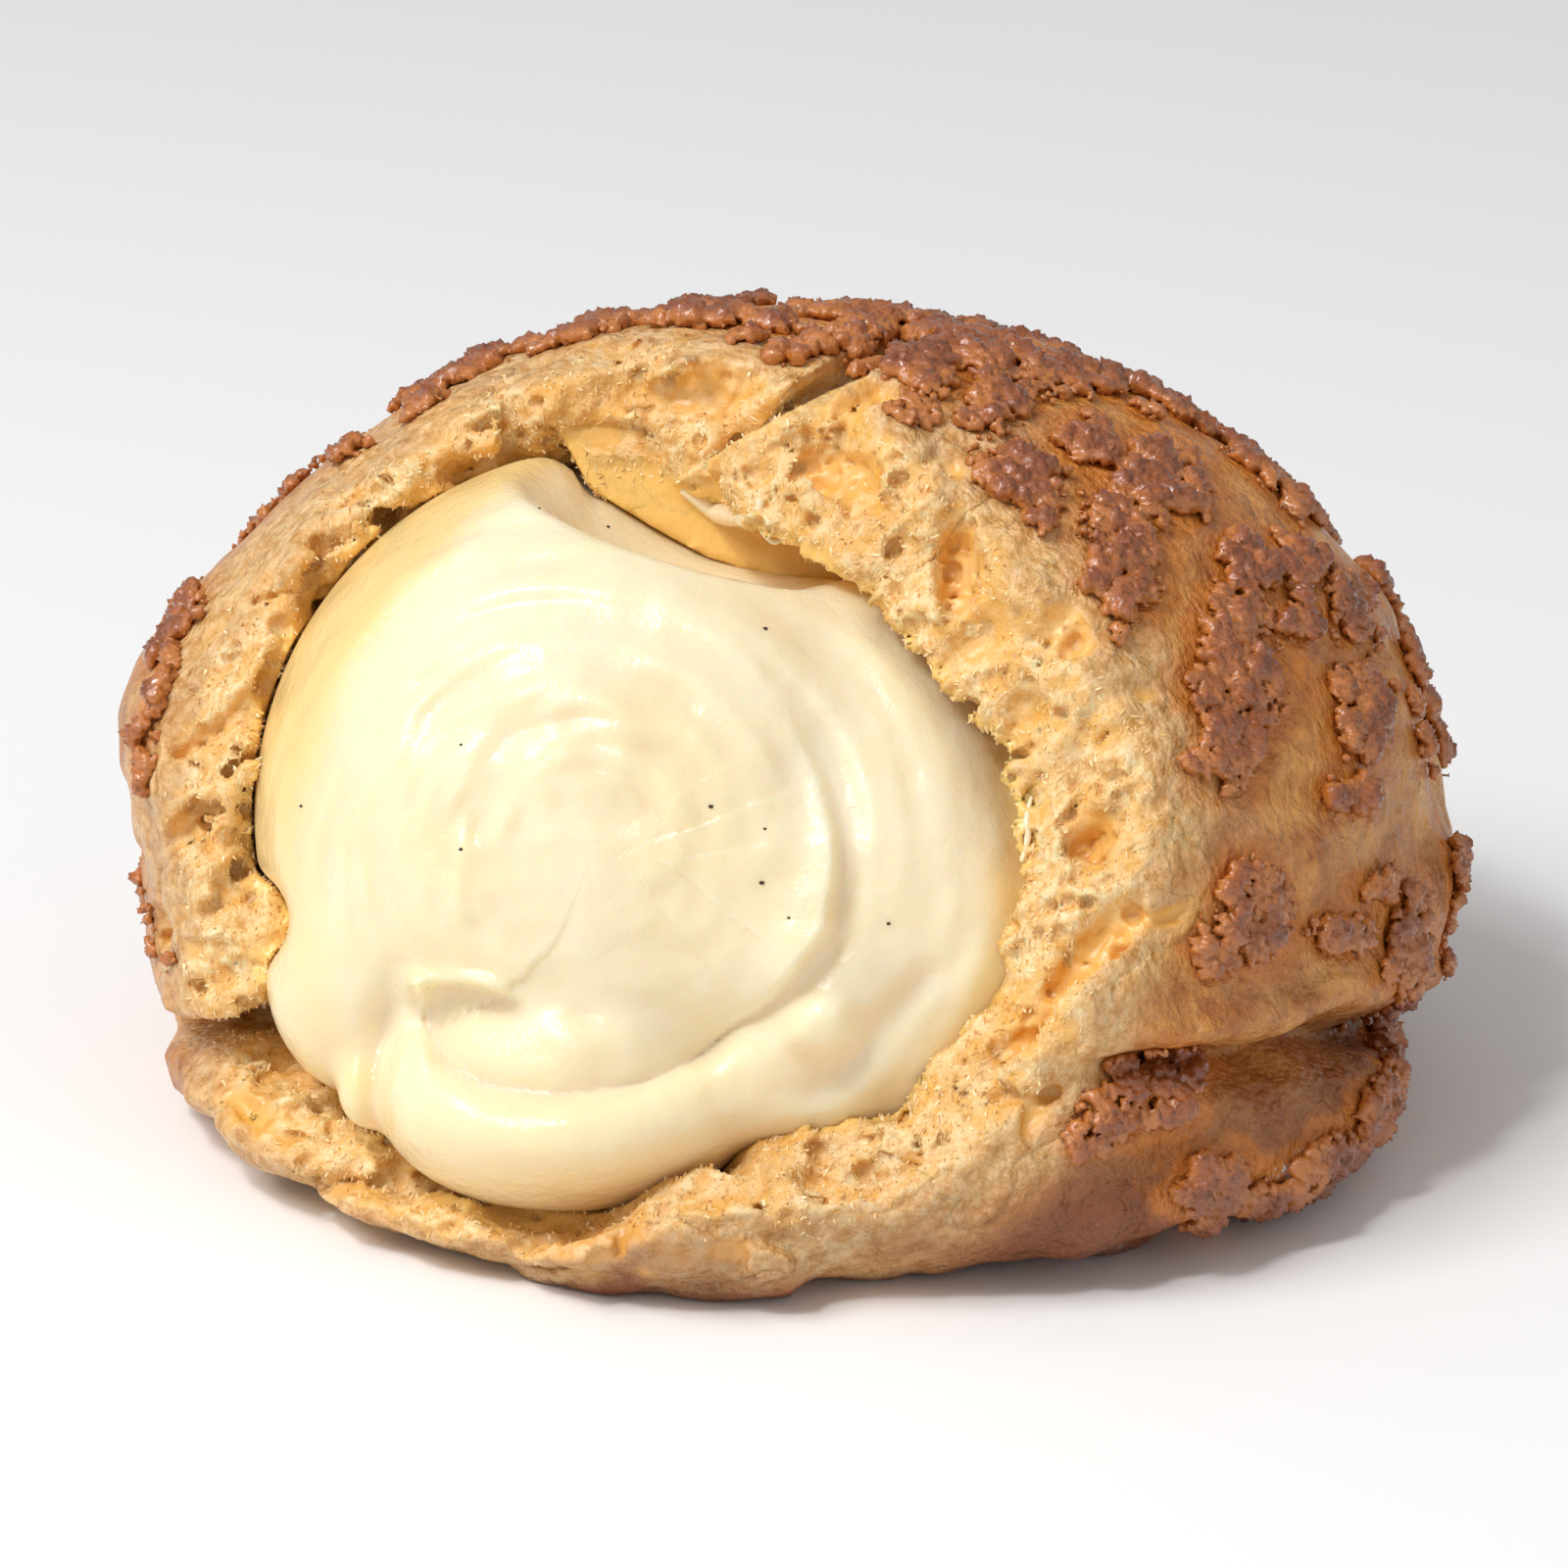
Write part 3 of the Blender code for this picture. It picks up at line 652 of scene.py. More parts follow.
crumbs = []
for quarter, start_turn, end_turn in CRUMB_QUARTERS:
    low, high = (-46.4, -44.6, -1.1), (31, 14, 56)
    x, y, z = grid(low, high, CRUMB_STEP)
    right, up, out = on_mouth(x, y, z)
    flat = np.hypot(right - MOUTH_RIGHT, up - MOUTH_UP)
    middle_turn = (start_turn + end_turn) / 2
    turn = (np.degrees(np.arctan2(up - MOUTH_UP, right - MOUTH_RIGHT)) - middle_turn + 180) % 360 - 180
    plain = np.hypot(np.hypot(x / HALF_WIDTH, y / HALF_DEPTH), (z - GIRTH_HEIGHT) / np.where(z > GIRTH_HEIGHT, 35, 22)) - 1
    band = (np.abs(turn) < (end_turn - start_turn) / 2 + 7) & (flat > 18.5) & (flat < 41) & (out > -10)
    band &= (plain * HALF_WIDTH > -16) & (plain * HALF_WIDTH < 8)
    values = np.full(band.shape, 5, np.float32)
    solid, tear, skin = crumb_band(x[band], y[band], z[band], start_turn, end_turn)
    values[band] = solid
    face = np.argwhere(band)[(np.abs(tear) < 0.5) & (skin < -0.6) & (solid < 1)]
    rng = np.random.default_rng(7)
    for centre in face[rng.choice(len(face), 300, replace=False)]:
        radius = 0.28 + 0.35 * rng.random() ** 2.5
        reach = int(1.5 * radius / CRUMB_STEP) + 2
        start = np.maximum(centre - reach, 0)
        block = tuple(slice(a, b + reach + 1) for a, b in zip(start, centre))
        offsets = np.meshgrid(*[np.arange(a, a + n) for a, n in zip(start, values[block].shape)], indexing="ij")
        stretch = 1 + 0.5 * rng.random(3)
        away = np.sqrt(sum((((o - c) * CRUMB_STEP) / s) ** 2 for o, c, s in zip(offsets, centre, stretch)))
        values[block] = np.maximum(values[block], radius - away)
    crumb = mesh_object("torn_crumb_" + quarter, *surface_of(values, low, CRUMB_STEP))
    finish_pastry(crumb, 1)
    crumb.data.materials.append(baked_choux)
    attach(crumb, "root")
    crumbs.append(crumb)

# ---- custard --------------------------------------------------------------------------
# Vanilla custard, piped in through the puff until it filled the hollow and pushed out of the
# tear. It is one soft mass: a ball pushed out to the shape of its room, then worked into folds.
CUSTARD_CORE = np.array([-9, -10, 22])
CUSTARD_SEGMENTS, CUSTARD_RINGS = 316, 300


def air_pocket(x, y, z):
    """Below zero in the air under the roof, where the custard has sunk."""
    off_x, off_y = (x + 4) / 11.5, (y + 6) / 12.5
    return 36.9 + 6.5 * (off_x**2 + off_y**2) - z


def custard_form(x, y, z):
    right, up, out = on_mouth(x, y, z)
    under_roof = up - custard_top(right) - 14 * soft_step(-out, -9, -5)
    whole = -smooth_min(-custard_room(x, y, z), -under_roof, 5)
    return -smooth_min(-whole, air_pocket(x, y, z), 2.5)


def arc_window(turn, start, end, soft):
    """1 between two turns in degrees, going anticlockwise, with soft ends."""
    middle, half = (start + end) / 2, (end - start) / 2
    off = np.abs((turn - middle + 180) % 360 - 180)
    return 1 - soft_step(off, half - soft, half + soft)


# The lower edge of the last round of piping, from its pointed tip on the left, round below it and
# up its right side: right and up.
LAST_ROUND_EDGE = [
    (-23.9, 7.2), (-23.4, 4.5), (-21.9, 2.5), (-19.1, 1.2), (-14.5, 0.6), (-9.4, 1.3), (-5.5, 3.1), (-2.1, 5.6),
    (0.9, 8.4), (2.7, 11.2), (3.3, 14.2), (3.1, 17.2), (2.2, 20.8), (0.2, 24.4), (-2.6, 28.0),
]


def beside_edge(right, up, edge):
    """How far inside an edge each place is, and how far along the edge, from 0 to 1."""
    nearest, inside, along = np.full(right.shape, 1e9), np.zeros(right.shape), np.zeros(right.shape)
    for index, ((a, b), (c, d)) in enumerate(zip(edge, edge[1:])):
        run_a, run_b = c - a, d - b
        share = np.clip(((right - a) * run_a + (up - b) * run_b) / (run_a**2 + run_b**2), 0, 1)
        off_a, off_b = right - a - share * run_a, up - b - share * run_b
        away = np.hypot(off_a, off_b)
        closer = away < nearest
        nearest = np.where(closer, away, nearest)
        inside = np.where(closer, np.sign(run_a * off_b - run_b * off_a) * away, inside)
        along = np.where(closer, (index + share) / (len(edge) - 1), along)
    return inside, along


def custard_folds(right, up):
    """How far the custard stands out of, or sinks into, its plain form, seen from the front."""
    flat = 0 * up
    inside, along = beside_edge(right + 0.4 * noise(right, up, flat, 3, 44), up, LAST_ROUND_EDGE)
    below = soft_step(along, 0.0, 0.08) * (1 - soft_step(along, 0.42, 0.62))
    beside = soft_step(along, 0.4, 0.6) * (1 - soft_step(along, 0.74, 0.97))
    # Below, the round rolls under into a valley, and the lower lobe swells up in front of it.
    valley = np.where(inside > 0, np.exp(-inside / 3.4), np.exp(inside / 0.9))
    height = -3.0 * below * valley
    height = height + 2.0 * np.exp(-(((right + 13.5) / 10.5) ** 2) - ((up + 2.6) / 3.8) ** 2)
    # Beside, the round stands proud in a crisp step, with a shallow groove along it.
    height = height + 1.9 * beside * soft_step(inside, -0.35, 0.55) * np.exp(-np.maximum(inside, 0) / 7)
    height = height - 0.45 * beside * np.exp(-(((inside + 1.0) / 0.9) ** 2))
    # The tip on the left, with a fold running in from it.
    fold = (1 - soft_step(right, -19.5, -15.5)) * soft_step(right, -24.6, -23.6)
    crest = 7.6 - 0.05 * (right + 21.5) ** 2
    height = height - 1.3 * fold * (1 - soft_step(up - crest, -0.3, 0.15)) * np.exp(-np.maximum(crest - up, 0) / 3.0)
    height = height + 0.8 * fold * np.exp(-(((up - crest - 0.35) / 0.55) ** 2))
    height = height + 1.5 * np.exp(-((np.hypot(right + 23.7, up - 7.5) / 0.95) ** 2))
    left_edge = (right + 23.5 - 0.1 * np.maximum(5.5 - up, 0) ** 1.5) / 0.45
    height = height + 0.6 * np.exp(-(left_edge**2)) * soft_step(up, 1.5, 3.5) * (1 - soft_step(up, 7, 8))
    # The groove between the left lobe and the lower one, a nub, and a slump on the right flank.
    groove = (right + 25.8 - 0.12 * (up - 4)) / 1.2
    height = height - 1.5 * np.exp(-(groove**2)) * (1 - soft_step(up, 5, 10))
    nub = np.hypot((right - 2.2) / 1.15, up - 4.9)
    height = height + 1.5 * np.exp(-((nub / 2.0) ** 4))
    flank = ((right - 5.6) * 0.75 + (up - 4.6) * -0.66) / 1.1
    height = height - 0.8 * np.exp(-(flank**2)) * soft_step(up, -1, 1.5) * (1 - soft_step(up, 7, 10))
    bulge = np.hypot((right - 12.6) / 2.4, (up - 7.6) / 3.4)
    height = height + 0.9 * np.exp(-(bulge**2))
    # Smears that the nozzle left, drawn out round the last round of piping.
    across, along_up = right + 12.8, up - 13.5
    ring = np.hypot(across, along_up)
    swept = np.degrees(np.arctan2(along_up, across))
    round_x, round_y = np.cos(np.radians(swept)), np.sin(np.radians(swept))
    smears = noise(ring, 6 * round_x, 6 * round_y, 2.4, 45) + 0.5 * noise(ring, 4 * round_x, 4 * round_y, 1.1, 46)
    height = height + 0.55 * smears * soft_step(ring, 3, 8) * arc_window(swept, 15, 205, 30)
    height = height + 0.35 * smears * soft_step(ring, 5, 9) * arc_window(swept, 90, 190, 25)
    height = height + 0.16 * noise(ring, 5 * round_x, 5 * round_y, 1.5, 47) * soft_step(ring, 2, 5)
    # It sinks in beside the wall of the pastry on the upper right.
    turn = np.arctan2(up - MOUTH_UP, right - MOUTH_RIGHT)
    from_wall = round_the_mouth(HOLLOW_RIM, turn) - np.hypot(up - MOUTH_UP, right - MOUTH_RIGHT)
    height = height - 3.2 * (1 - soft_step(from_wall, -1, 4.2)) * arc_window(np.degrees(turn), -8, 75, 12)
    return height + 0.4 * noise(right, up, flat, 5, 42) + 0.12 * noise(right, up, flat, 1.7, 43)


def last_inside(field, start, ways, reach, steps=150, halvings=16):
    """How far each ray runs from start before it leaves the field for the last time."""
    lengths = np.linspace(0, reach, steps)
    last = np.zeros(ways.shape[1], int)
    for index, length in enumerate(lengths):
        last[field(*(start[:, None] + ways * length)) < 0] = index
    near = lengths[last]
    far = near + reach / (steps - 1)
    for _ in range(halvings):
        middle = (near + far) / 2
        within = field(*(start[:, None] + ways * middle)) < 0
        near, far = np.where(within, middle, near), np.where(within, far, middle)
    return near


ball = bmesh.new()
face_front = Matrix.Rotation(math.radians(90) - MOUTH_TILT, 4, "X")
bmesh.ops.create_uvsphere(
    ball, u_segments=CUSTARD_SEGMENTS, v_segments=CUSTARD_RINGS, radius=1, matrix=face_front
)
custard_mesh = bpy.data.meshes.new("custard_cream_fill")
ball.to_mesh(custard_mesh)
ball.free()
custard = bpy.data.objects.new("custard_cream_fill", custard_mesh)
bpy.context.scene.collection.objects.link(custard)
ways = points_of(custard) * MM
ways = ways / np.linalg.norm(ways, axis=0)
places = CUSTARD_CORE[:, None] + ways * last_inside(custard_form, CUSTARD_CORE, ways, 60)
right, up, out = on_mouth(*places)
shown = soft_step(out, 12, 22) * (1 - soft_step(up - custard_top(right), -5, -1))
push = custard_folds(right, up) * shown
places = places + push * np.array([0, -math.cos(MOUTH_TILT), math.sin(MOUTH_TILT)])[:, None]
custard_mesh.vertices.foreach_set("co", (places.T * MM).astype(np.float32).ravel())
custard_mesh.update()
# Painted shade: the custard is painted a deeper amber where it sinks back beside the pastry's wall and under the roof,
# in place of the shade and warm glow there. There is less of it along the lower side.
turn = np.arctan2(up - MOUTH_UP, right - MOUTH_RIGHT)
from_wall = round_the_mouth(HOLLOW_RIM, turn) - np.hypot(up - MOUTH_UP, right - MOUTH_RIGHT)
from_wall = np.minimum(from_wall, custard_top(right) - up + 1) + 0.6 * noise(right, up, 0 * up, 3, 48)
beside = 0.85 - 0.85 * soft_step(from_wall, -0.5, 2.8)
note(custard, "beside_wall", beside * np.where(out > 8, 1 - 0.55 * arc_window(np.degrees(turn), 190, 330, 25), 0))
custard_mesh.shade_smooth()

CUSTARD_YELLOW = (0.90, 0.76, 0.49)
CUSTARD_PALE = (0.93, 0.82, 0.60)
# Painted shade: the deeper amber of the custard beside the wall and under the roof.
CUSTARD_SHADE_AMBER = (0.92, 0.63, 0.22)


def custard_material(name, glow):
    material, tree, shader, place = new_material(name)
    cloud = add(tree, "ShaderNodeTexNoise", {"Vector": place, "Scale": 90.0, "Detail": 4.0})
    colour = ramp(tree, cloud.outputs["Fac"], [(0.35, CUSTARD_YELLOW), (0.65, CUSTARD_PALE)])
    # Painted shade: deeper amber where the custard sinks beside the wall and under the roof.
    beside_wall = add(tree, "ShaderNodeAttribute", attribute_name="beside_wall").outputs["Fac"]
    colour = mix(tree, beside_wall, colour, CUSTARD_SHADE_AMBER)
    tree.links.new(colour, shader.inputs["Base Color"])
    film = add(tree, "ShaderNodeTexNoise", {"Vector": place, "Scale": 260.0, "Detail": 6.0, "Roughness": 0.7})
    rough = add(tree, "ShaderNodeMapRange", {"Value": film.outputs["Fac"], "From Min": 0.35, "From Max": 0.65, "To Min": 0.1, "To Max": 0.26})
    tree.links.new(rough.outputs[0], shader.inputs["Roughness"])
    fine = add(tree, "ShaderNodeTexNoise", {"Vector": place, "Scale": 900.0, "Detail": 5.0, "Roughness": 0.6})
    height = math_node(tree, "ADD", math_node(tree, "MULTIPLY", film.outputs["Fac"], 2.0), fine.outputs["Fac"])
    bump_node = add(tree, "ShaderNodeBump", {"Height": height, "Strength": 0.6, "Distance": 0.00018})
    tree.links.new(bump_node.outputs["Normal"], shader.inputs["Normal"])
    shader.inputs["Subsurface Weight"].default_value = glow
    shader.inputs["Subsurface Radius"].default_value = (1.0, 0.65, 0.25)
    shader.inputs["Subsurface Scale"].default_value = 0.004
    shader.inputs["Specular IOR Level"].default_value = 0.5
    return material


custard_cream = custard_material("custard", 0.6)
custard_mesh.materials.append(custard_cream)
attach(custard, "root")
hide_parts("custard_cream")

# ---- cookie crust ---------------------------------------------------------------------
# The cookie dough that was laid on top before baking. It cracked into islands of dark brown
# grains fused to the skin. Grains are scattered over the skin, melted together and roughened.
GRAIN_SPACING = 0.38 * MM
GRAIN_RADIUS = (0.34 * MM, 0.62 * MM)


def geometry_tree(name, inputs):
    """A Geometry Nodes tree that takes and gives a mesh, with these named inputs."""
    tree = bpy.data.node_groups.new(name, "GeometryNodeTree")
    tree.interface.new_socket("Geometry", in_out="INPUT", socket_type="NodeSocketGeometry")
    tree.interface.new_socket("Geometry", in_out="OUTPUT", socket_type="NodeSocketGeometry")
    for socket_name, kind in inputs:
        tree.interface.new_socket(socket_name, in_out="INPUT", socket_type=kind)
    return tree, tree.nodes.new("NodeGroupInput"), tree.nodes.new("NodeGroupOutput")


def kept_value(tree, name):
    node = add(tree, "GeometryNodeInputNamedAttribute", {"Name": name}, data_type="FLOAT")
    return node.outputs["Attribute"]


def grown_piece(name, host, tree, values):
    """What a tree makes from a copy of the host's mesh, as a plain mesh of its own."""
    seedbed = bpy.data.objects.new(name + "_host", host.data.copy())
    bpy.context.scene.collection.objects.link(seedbed)
    modifier = seedbed.modifiers.new(name, "NODES")
    modifier.node_group = tree
    for item in tree.interface.items_tree:
        if item.in_out == "INPUT" and item.name in values:
            modifier[item.identifier] = values[item.name]
    graph = bpy.context.evaluated_depsgraph_get()
    mesh = bpy.data.meshes.new_from_object(seedbed.evaluated_get(graph))
    seedbed.modifiers.remove(modifier)
    bpy.data.objects.remove(seedbed)
    mesh.name = name
    obj = bpy.data.objects.new(name, mesh)
    bpy.context.scene.collection.objects.link(obj)
    return obj


crust_tree, crust_in, crust_out = geometry_tree("cookie_grains", [
    ("Cover", "NodeSocketString"), ("Spacing", "NodeSocketFloat"), ("Smallest grain", "NodeSocketFloat"),
    ("Largest grain", "NodeSocketFloat"), ("Step", "NodeSocketFloat"), ("Seed", "NodeSocketInt"),
    ("Material", "NodeSocketMaterial"),
])
cover_value = add(crust_tree, "GeometryNodeInputNamedAttribute", {"Name": crust_in.outputs["Cover"]}, data_type="FLOAT")
cover_value = cover_value.outputs["Attribute"]
grains = add(crust_tree, "GeometryNodeDistributePointsOnFaces", {
    "Mesh": crust_in.outputs["Geometry"], "Distance Min": crust_in.outputs["Spacing"], "Density Max": 9.0e6,
    "Density Factor": cover_value, "Seed": crust_in.outputs["Seed"],
}, distribute_method="POISSON")
size = add(crust_tree, "FunctionNodeRandomValue", {
    2: crust_in.outputs["Smallest grain"], 3: crust_in.outputs["Largest grain"], "Seed": crust_in.outputs["Seed"],
}, data_type="FLOAT")
lumps = add(crust_tree, "ShaderNodeTexNoise", {"Scale": 560.0, "Detail": 2.0})
swell = add(crust_tree, "ShaderNodeMapRange", {"Value": lumps.outputs["Fac"], "From Min": 0.35, "From Max": 0.65, "To Min": 0.65, "To Max": 1.5})
rise = math_node(crust_tree, "MULTIPLY", swell.outputs[0], math_node(crust_tree, "ADD", math_node(crust_tree, "MULTIPLY", cover_value, 0.65), 0.35))
radius = math_node(crust_tree, "MULTIPLY", rise, size.outputs[1])
lift = add(crust_tree, "ShaderNodeVectorMath", {0: grains.outputs["Normal"]}, operation="SCALE")
crust_tree.links.new(math_node(crust_tree, "MULTIPLY", rise, 0.5 * MM), lift.inputs["Scale"])
raised = add(crust_tree, "GeometryNodeSetPosition", {
    "Geometry": grains.outputs["Points"], "Offset": lift.outputs[0],
})
melted = add(crust_tree, "GeometryNodePointsToVolume", {
    "Points": raised.outputs[0], "Voxel Size": crust_in.outputs["Step"], "Radius": radius,
}, resolution_mode="VOXEL_SIZE")
shell = add(crust_tree, "GeometryNodeVolumeToMesh", {
    "Volume": melted.outputs[0], "Threshold": 0.1,
})
coarse = add(crust_tree, "ShaderNodeTexNoise", {"Scale": 2250.0, "Detail": 2.0, "Roughness": 0.7})
centred = math_node(crust_tree, "SUBTRACT", coarse.outputs["Fac"], 0.5)
way = add(crust_tree, "ShaderNodeVectorMath", {0: add(crust_tree, "GeometryNodeInputNormal").outputs[0]}, operation="SCALE")
crust_tree.links.new(math_node(crust_tree, "MULTIPLY", centred, 1.45 * MM), way.inputs["Scale"])
roughened = add(crust_tree, "GeometryNodeSetPosition", {"Geometry": shell.outputs[0], "Offset": way.outputs[0]})
smooth = add(crust_tree, "GeometryNodeSetShadeSmooth", {"Geometry": roughened.outputs[0]})
real = add(crust_tree, "GeometryNodeRealizeInstances", {"Geometry": smooth.outputs[0]})
painted = add(crust_tree, "GeometryNodeSetMaterial", {
    "Geometry": real.outputs[0], "Material": crust_in.outputs["Material"],
})
crust_tree.links.new(painted.outputs[0], crust_out.inputs[0])

COOKIE_DARK = (0.24, 0.056, 0.012)
COOKIE_BROWN = (0.38, 0.105, 0.022)
COOKIE_AMBER = (0.54, 0.175, 0.03)


def cookie_material():
    material, tree, shader, place = new_material("cookie_crust")
    patches = add(tree, "ShaderNodeTexNoise", {"Vector": place, "Scale": 900.0, "Detail": 4.0, "Roughness": 0.7})
    regions = add(tree, "ShaderNodeTexNoise", {"Vector": place, "Scale": 260.0, "Detail": 2.0})
    rise = add(tree, "ShaderNodeAttribute", attribute_name="rise").outputs["Fac"]
    tone = math_node(tree, "ADD", math_node(tree, "MULTIPLY", patches.outputs["Fac"], 0.8), math_node(tree, "MULTIPLY", regions.outputs["Fac"], 0.9))
    tone = math_node(tree, "SUBTRACT", math_node(tree, "ADD", tone, 0.3), math_node(tree, "MULTIPLY", rise, 0.55))
    colour = ramp(tree, tone, [(0.52, COOKIE_DARK), (0.78, COOKIE_BROWN), (1.0, COOKIE_AMBER)])
    dust = use_group(tree, flour_dust, {"Place": place, "Amount": 0.75})
    colour = mix(tree, math_node(tree, "MULTIPLY", dust.outputs["Mask"], 0.15), colour, FLOUR_WHITE)
    tree.links.new(colour, shader.inputs["Base Color"])
    grain = use_group(tree, crumb_grain, {"Place": place, "Bubbles per metre": 2600.0})
    bump_node = add(tree, "ShaderNodeBump", {"Height": grain.outputs["Height"], "Strength": 0.9, "Distance": 0.00014})
    tree.links.new(bump_node.outputs["Normal"], shader.inputs["Normal"])
    rough = add(tree, "ShaderNodeMapRange", {"Value": patches.outputs["Fac"], "From Min": 0.35, "From Max": 0.65, "To Min": 0.1, "To Max": 0.34})
    tree.links.new(rough.outputs[0], shader.inputs["Roughness"])
    shader.inputs["Specular IOR Level"].default_value = 0.6
    shader.inputs["Coat Weight"].default_value = 0.6
    shader.inputs["Coat Roughness"].default_value = 0.08
    return material


cookie_crust = cookie_material()
for side, step in (("front", 0.25), ("back_left", 0.34), ("back_right", 0.34)):
    crust = grown_piece("cookie_crust_" + side, pastry, crust_tree, {
        "Cover": "cookie_" + side, "Spacing": GRAIN_SPACING, "Smallest grain": GRAIN_RADIUS[0],
        "Largest grain": GRAIN_RADIUS[1], "Step": step * MM, "Seed": 5, "Material": cookie_crust,
    })
    note(crust, "rise", soft_step(dome(*points_of(crust)), 0.2, 1.8))
    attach(crust, "root")

# ---- torn fibres ----------------------------------------------------------------------
# The frayed ends of the crumb's thin walls: pale glistening flakes, under a millimetre long,
# that stick out from its ridges at every angle.
flake_tree, flake_in, flake_out = geometry_tree("torn_flakes", [
    ("Per square metre", "NodeSocketFloat"), ("Flake size", "NodeSocketVector"), ("Seed", "NodeSocketInt"),
    ("Material", "NodeSocketMaterial"),
])
frayed_points = add(flake_tree, "GeometryNodeDistributePointsOnFaces", {
    "Mesh": flake_in.outputs["Geometry"],
    "Density": math_node(flake_tree, "MULTIPLY", kept_value(flake_tree, "fuzz"), flake_in.outputs["Per square metre"]),
    "Seed": flake_in.outputs["Seed"],
}, distribute_method="RANDOM")
ball = add(flake_tree, "GeometryNodeMeshIcoSphere", {"Radius": 0.5, "Subdivisions": 1})
flat_flake = add(flake_tree, "GeometryNodeTransform", {"Geometry": ball.outputs[0], "Scale": flake_in.outputs["Flake size"]})
turned = add(flake_tree, "FunctionNodeRandomValue", {0: (-3.14, -3.14, -3.14), 1: (3.14, 3.14, 3.14), "Seed": flake_in.outputs["Seed"]}, data_type="FLOAT_VECTOR")
sized = add(flake_tree, "FunctionNodeRandomValue", {2: 0.45, 3: 1.5, "Seed": flake_in.outputs["Seed"]}, data_type="FLOAT")
set_on = add(flake_tree, "GeometryNodeInstanceOnPoints", {
    "Points": frayed_points.outputs["Points"], "Instance": flat_flake.outputs[0], "Rotation": turned.outputs[0], "Scale": sized.outputs[1],
})
real = add(flake_tree, "GeometryNodeRealizeInstances", {"Geometry": set_on.outputs[0]})
painted = add(flake_tree, "GeometryNodeSetMaterial", {"Geometry": real.outputs[0], "Material": flake_in.outputs["Material"]})
flake_tree.links.new(painted.outputs[0], flake_out.inputs[0])


def flake_material():
    material, tree, shader, place = new_material("torn_flakes")
    tone = add(tree, "ShaderNodeTexNoise", {"Vector": place, "Scale": 700.0, "Detail": 3.0})
    tree.links.new(ramp(tree, tone.outputs["Fac"], [(0.35, CRUMB_GOLD), (0.6, CRUMB_PALE)]), shader.inputs["Base Color"])
    fine = add(tree, "ShaderNodeTexNoise", {"Vector": place, "Scale": 4000.0, "Detail": 2.0})
    bump_node = add(tree, "ShaderNodeBump", {"Height": fine.outputs["Fac"], "Strength": 0.5, "Distance": 0.0001})
    tree.links.new(bump_node.outputs["Normal"], shader.inputs["Normal"])
    rough = add(tree, "ShaderNodeMapRange", {"Value": tone.outputs["Fac"], "From Min": 0.3, "From Max": 0.7, "To Min": 0.2, "To Max": 0.4})
    tree.links.new(rough.outputs[0], shader.inputs["Roughness"])
    return material


torn_flakes = flake_material()
for quarter, crumb in zip(CRUMB_QUARTERS, crumbs):
    flakes = grown_piece("torn_flakes_" + quarter[0], crumb, flake_tree, {
        "Per square metre": 4.2e6, "Flake size": (0.56 * MM, 0.17 * MM, 0.05 * MM), "Seed": 3, "Material": torn_flakes,
    })
    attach(flakes, "root")

# ---- vanilla seeds --------------------------------------------------------------------
# The few black seeds of the vanilla pod, a third of a millimetre across, half sunk in the custard.
SEED_PLACES = [
    (-16.0, 38.1), (-11.9, 37.4), (-1.4, 30.2), (-20.6, 22.8), (-31.3, 18.9), (-4.8, 18.9), (-1.4, 17.5),
    (-20.6, 16.2), (-1.6, 14.1), (0.1, 11.9), (6.4, 11.5),
]
towards_mouth = np.array([0, -math.cos(MOUTH_TILT), math.sin(MOUTH_TILT)])
seeds = bmesh.new()
for index, (right, up) in enumerate(SEED_PLACES):
    from_far = Vector((right, up * math.sin(MOUTH_TILT), up * math.cos(MOUTH_TILT))) + Vector(towards_mouth) * 90
    hit, spot, way, face = custard.ray_cast(from_far * MM, Vector(-towards_mouth))
    size = (0.12 + 0.03 * (index % 3)) * MM
    seed_shape = Matrix.Translation(spot) @ Matrix.Diagonal((size, 0.8 * size, 0.7 * size, 1))
    bmesh.ops.create_icosphere(seeds, subdivisions=2, radius=1, matrix=seed_shape)
seed_mesh = bpy.data.meshes.new("vanilla_seeds")
seeds.to_mesh(seed_mesh)
seeds.free()
seed_mesh.shade_smooth()
vanilla_seeds = bpy.data.objects.new("vanilla_seeds", seed_mesh)
bpy.context.scene.collection.objects.link(vanilla_seeds)


def seed_material():
    material, tree, shader, place = new_material("vanilla_seed")
    tone = add(tree, "ShaderNodeTexNoise", {"Vector": place, "Scale": 5000.0})
    tree.links.new(ramp(tree, tone.outputs["Fac"], [(0.3, (0.012, 0.008, 0.006)), (0.7, (0.05, 0.028, 0.018))]), shader.inputs["Base Color"])
    bump_node = add(tree, "ShaderNodeBump", {"Height": tone.outputs["Fac"], "Strength": 0.4, "Distance": 0.00005})
    tree.links.new(bump_node.outputs["Normal"], shader.inputs["Normal"])
    shader.inputs["Roughness"].default_value = 0.4
    return material


seed_mesh.materials.append(seed_material())
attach(vanilla_seeds, "root")

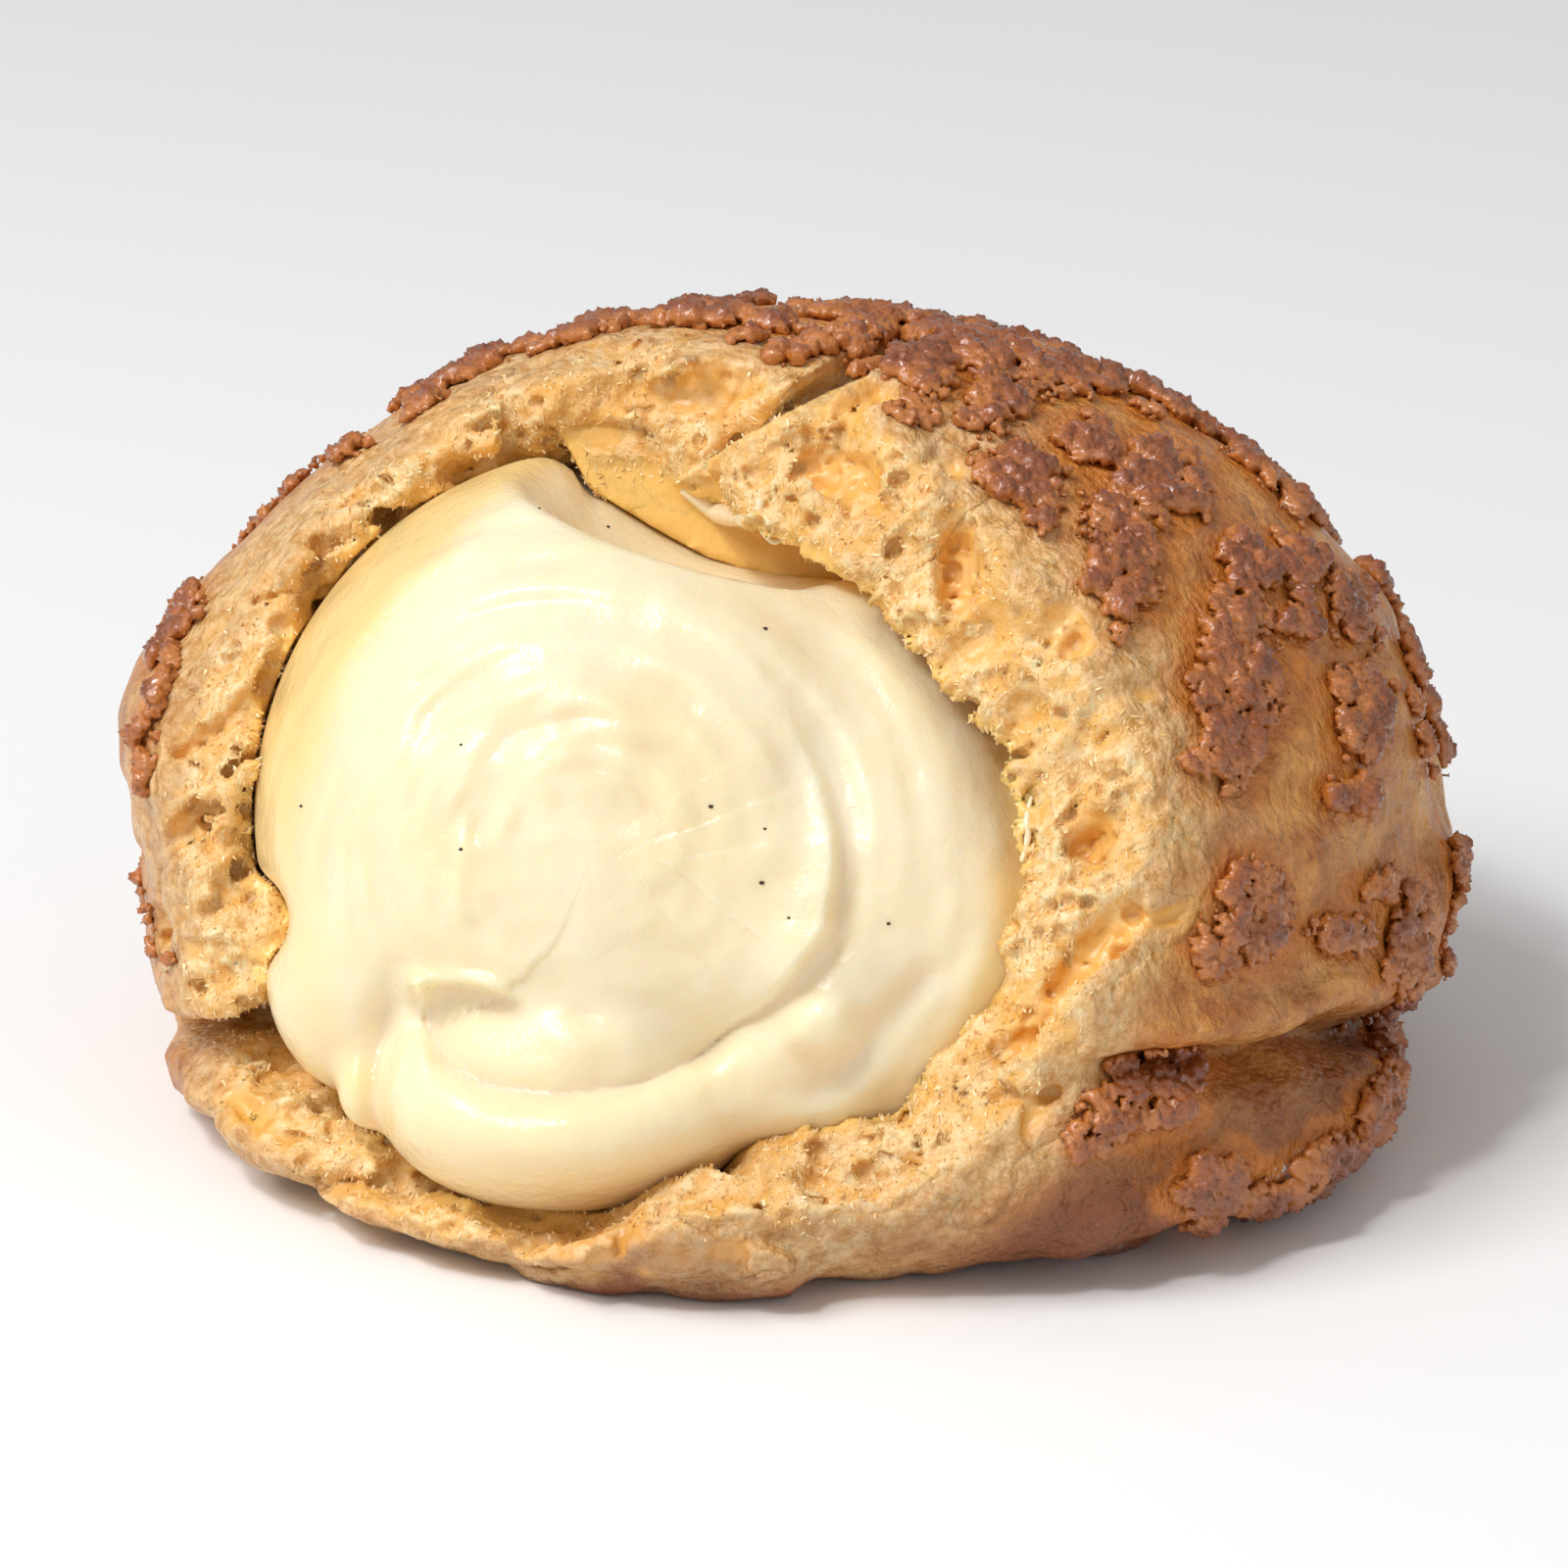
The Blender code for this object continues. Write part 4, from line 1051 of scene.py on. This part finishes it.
# ---- custard strings ------------------------------------------------------------------
# Threads and a smear of custard, left hanging from the roof of the mouth and along its wall
# where the piece was pulled apart. Each is a thin round thread: right, up and half width.
CUSTARD_STRINGS = [
    ("top", True, [(-1.7, 38.9, 0.34), (-2.0, 37.6, 0.22), (-1.5, 36.5, 0.16), (-0.7, 35.9, 0.2), (-0.4, 36.3, 0.14)]),
    ("top", False, [(-7.0, 39.9, 0.3), (-5.4, 39.0, 0.62), (-4.2, 38.2, 0.85), (-3.0, 37.5, 0.35)]),
    ("right", False, [(15.6, 19.6, 0.12), (15.1, 18.2, 0.22), (15.4, 16.9, 0.28), (14.9, 15.4, 0.14)]),
    ("right", False, [(13.9, 14.2, 0.1), (14.8, 13.4, 0.2), (16.4, 13.2, 0.12)]),
]
threads = bpy.data.curves.new("custard_strings", "CURVE")
threads.dimensions, threads.bevel_depth, threads.bevel_resolution, threads.use_fill_caps = "3D", 1, 3, True
wall_piece = dict(zip([quarter[0] for quarter in CRUMB_QUARTERS], crumbs))
for quarter, hangs, path in CUSTARD_STRINGS:
    spline = threads.splines.new("NURBS")
    spline.points.add(len(path) - 1)
    standing = None
    for point, (right, up, half_width) in zip(spline.points, path):
        in_plane = Vector((right, up * math.sin(MOUTH_TILT), up * math.cos(MOUTH_TILT)))
        if standing is None or not hangs:
            from_far = in_plane + Vector(towards_mouth) * 90
            hit, spot, way, face = wall_piece[quarter].ray_cast(from_far * MM, Vector(-towards_mouth))
            standing = (spot / MM).dot(Vector(towards_mouth)) if hit else standing or 20
        point.co = (*((in_plane + Vector(towards_mouth) * (standing + 0.1)) * MM), 1)
        point.radius = half_width * MM
    spline.order_u, spline.use_endpoint_u, spline.resolution_u = 3, True, 8
threads_curve = bpy.data.objects.new("custard_strings_curve", threads)
bpy.context.scene.collection.objects.link(threads_curve)
graph = bpy.context.evaluated_depsgraph_get()
string_mesh = bpy.data.meshes.new_from_object(threads_curve.evaluated_get(graph))
bpy.data.objects.remove(threads_curve)
string_mesh.name = "custard_strings"
string_mesh.materials.clear()
string_mesh.materials.append(custard_material("custard_thread", 0.0))
string_mesh.shade_smooth()
custard_strings = bpy.data.objects.new("custard_strings", string_mesh)
bpy.context.scene.collection.objects.link(custard_strings)
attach(custard_strings, "root")

# ---- studio ---------------------------------------------------------------------------
# A pale table under a large soft light from the upper left, with a weak fill from the right.
VIEW_HEIGHT = math.radians(20)
TARGET = np.array([-0.2, 6.94, 19.1]) * MM
CAMERA_DISTANCE = 478.5 * MM

camera = bpy.data.objects.new("camera", bpy.data.cameras.new("camera"))
camera.data.lens, camera.data.sensor_width = 160, 36
camera.location = TARGET + CAMERA_DISTANCE * np.array([0, -math.cos(VIEW_HEIGHT), math.sin(VIEW_HEIGHT)])
camera.rotation_euler = (math.radians(90) - VIEW_HEIGHT, 0, 0)
bpy.context.scene.collection.objects.link(camera)
bpy.context.scene.camera = camera

bpy.ops.mesh.primitive_plane_add(size=6)
floor = bpy.context.object
floor.name = "floor"
floor_material, floor_tree, floor_shader, floor_place = new_material("pale_table")
floor_shader.inputs["Base Color"].default_value = (0.93, 0.93, 0.93, 1)
floor_shader.inputs["Roughness"].default_value = 0.8
floor.data.materials.append(floor_material)


def soft_light(name, place, size, power):
    """A square light that faces the puff."""
    light = bpy.data.objects.new(name, bpy.data.lights.new(name, "AREA"))
    light.data.size, light.data.energy = size, power
    light.location = place
    to_puff = Matrix.Translation(place).translation - Matrix.Translation((0, 0, 0.025)).translation
    light.rotation_euler = to_puff.to_track_quat("Z", "Y").to_euler()
    bpy.context.scene.collection.objects.link(light)


soft_light("key", (-0.42, -0.26, 0.66), 0.4, 4.0)
soft_light("glint", (-0.26, -0.34, 0.62), 0.08, 1.2)
soft_light("fill", (0.7, -0.5, 0.35), 0.8, 0.8)
world = bpy.data.worlds.new("studio")
world.use_nodes = True
world.node_tree.nodes["Background"].inputs["Color"].default_value = (1, 1, 1, 1)
world.node_tree.nodes["Background"].inputs["Strength"].default_value = 0.42
bpy.context.scene.world = world
bpy.context.scene.view_settings.view_transform = "Standard"
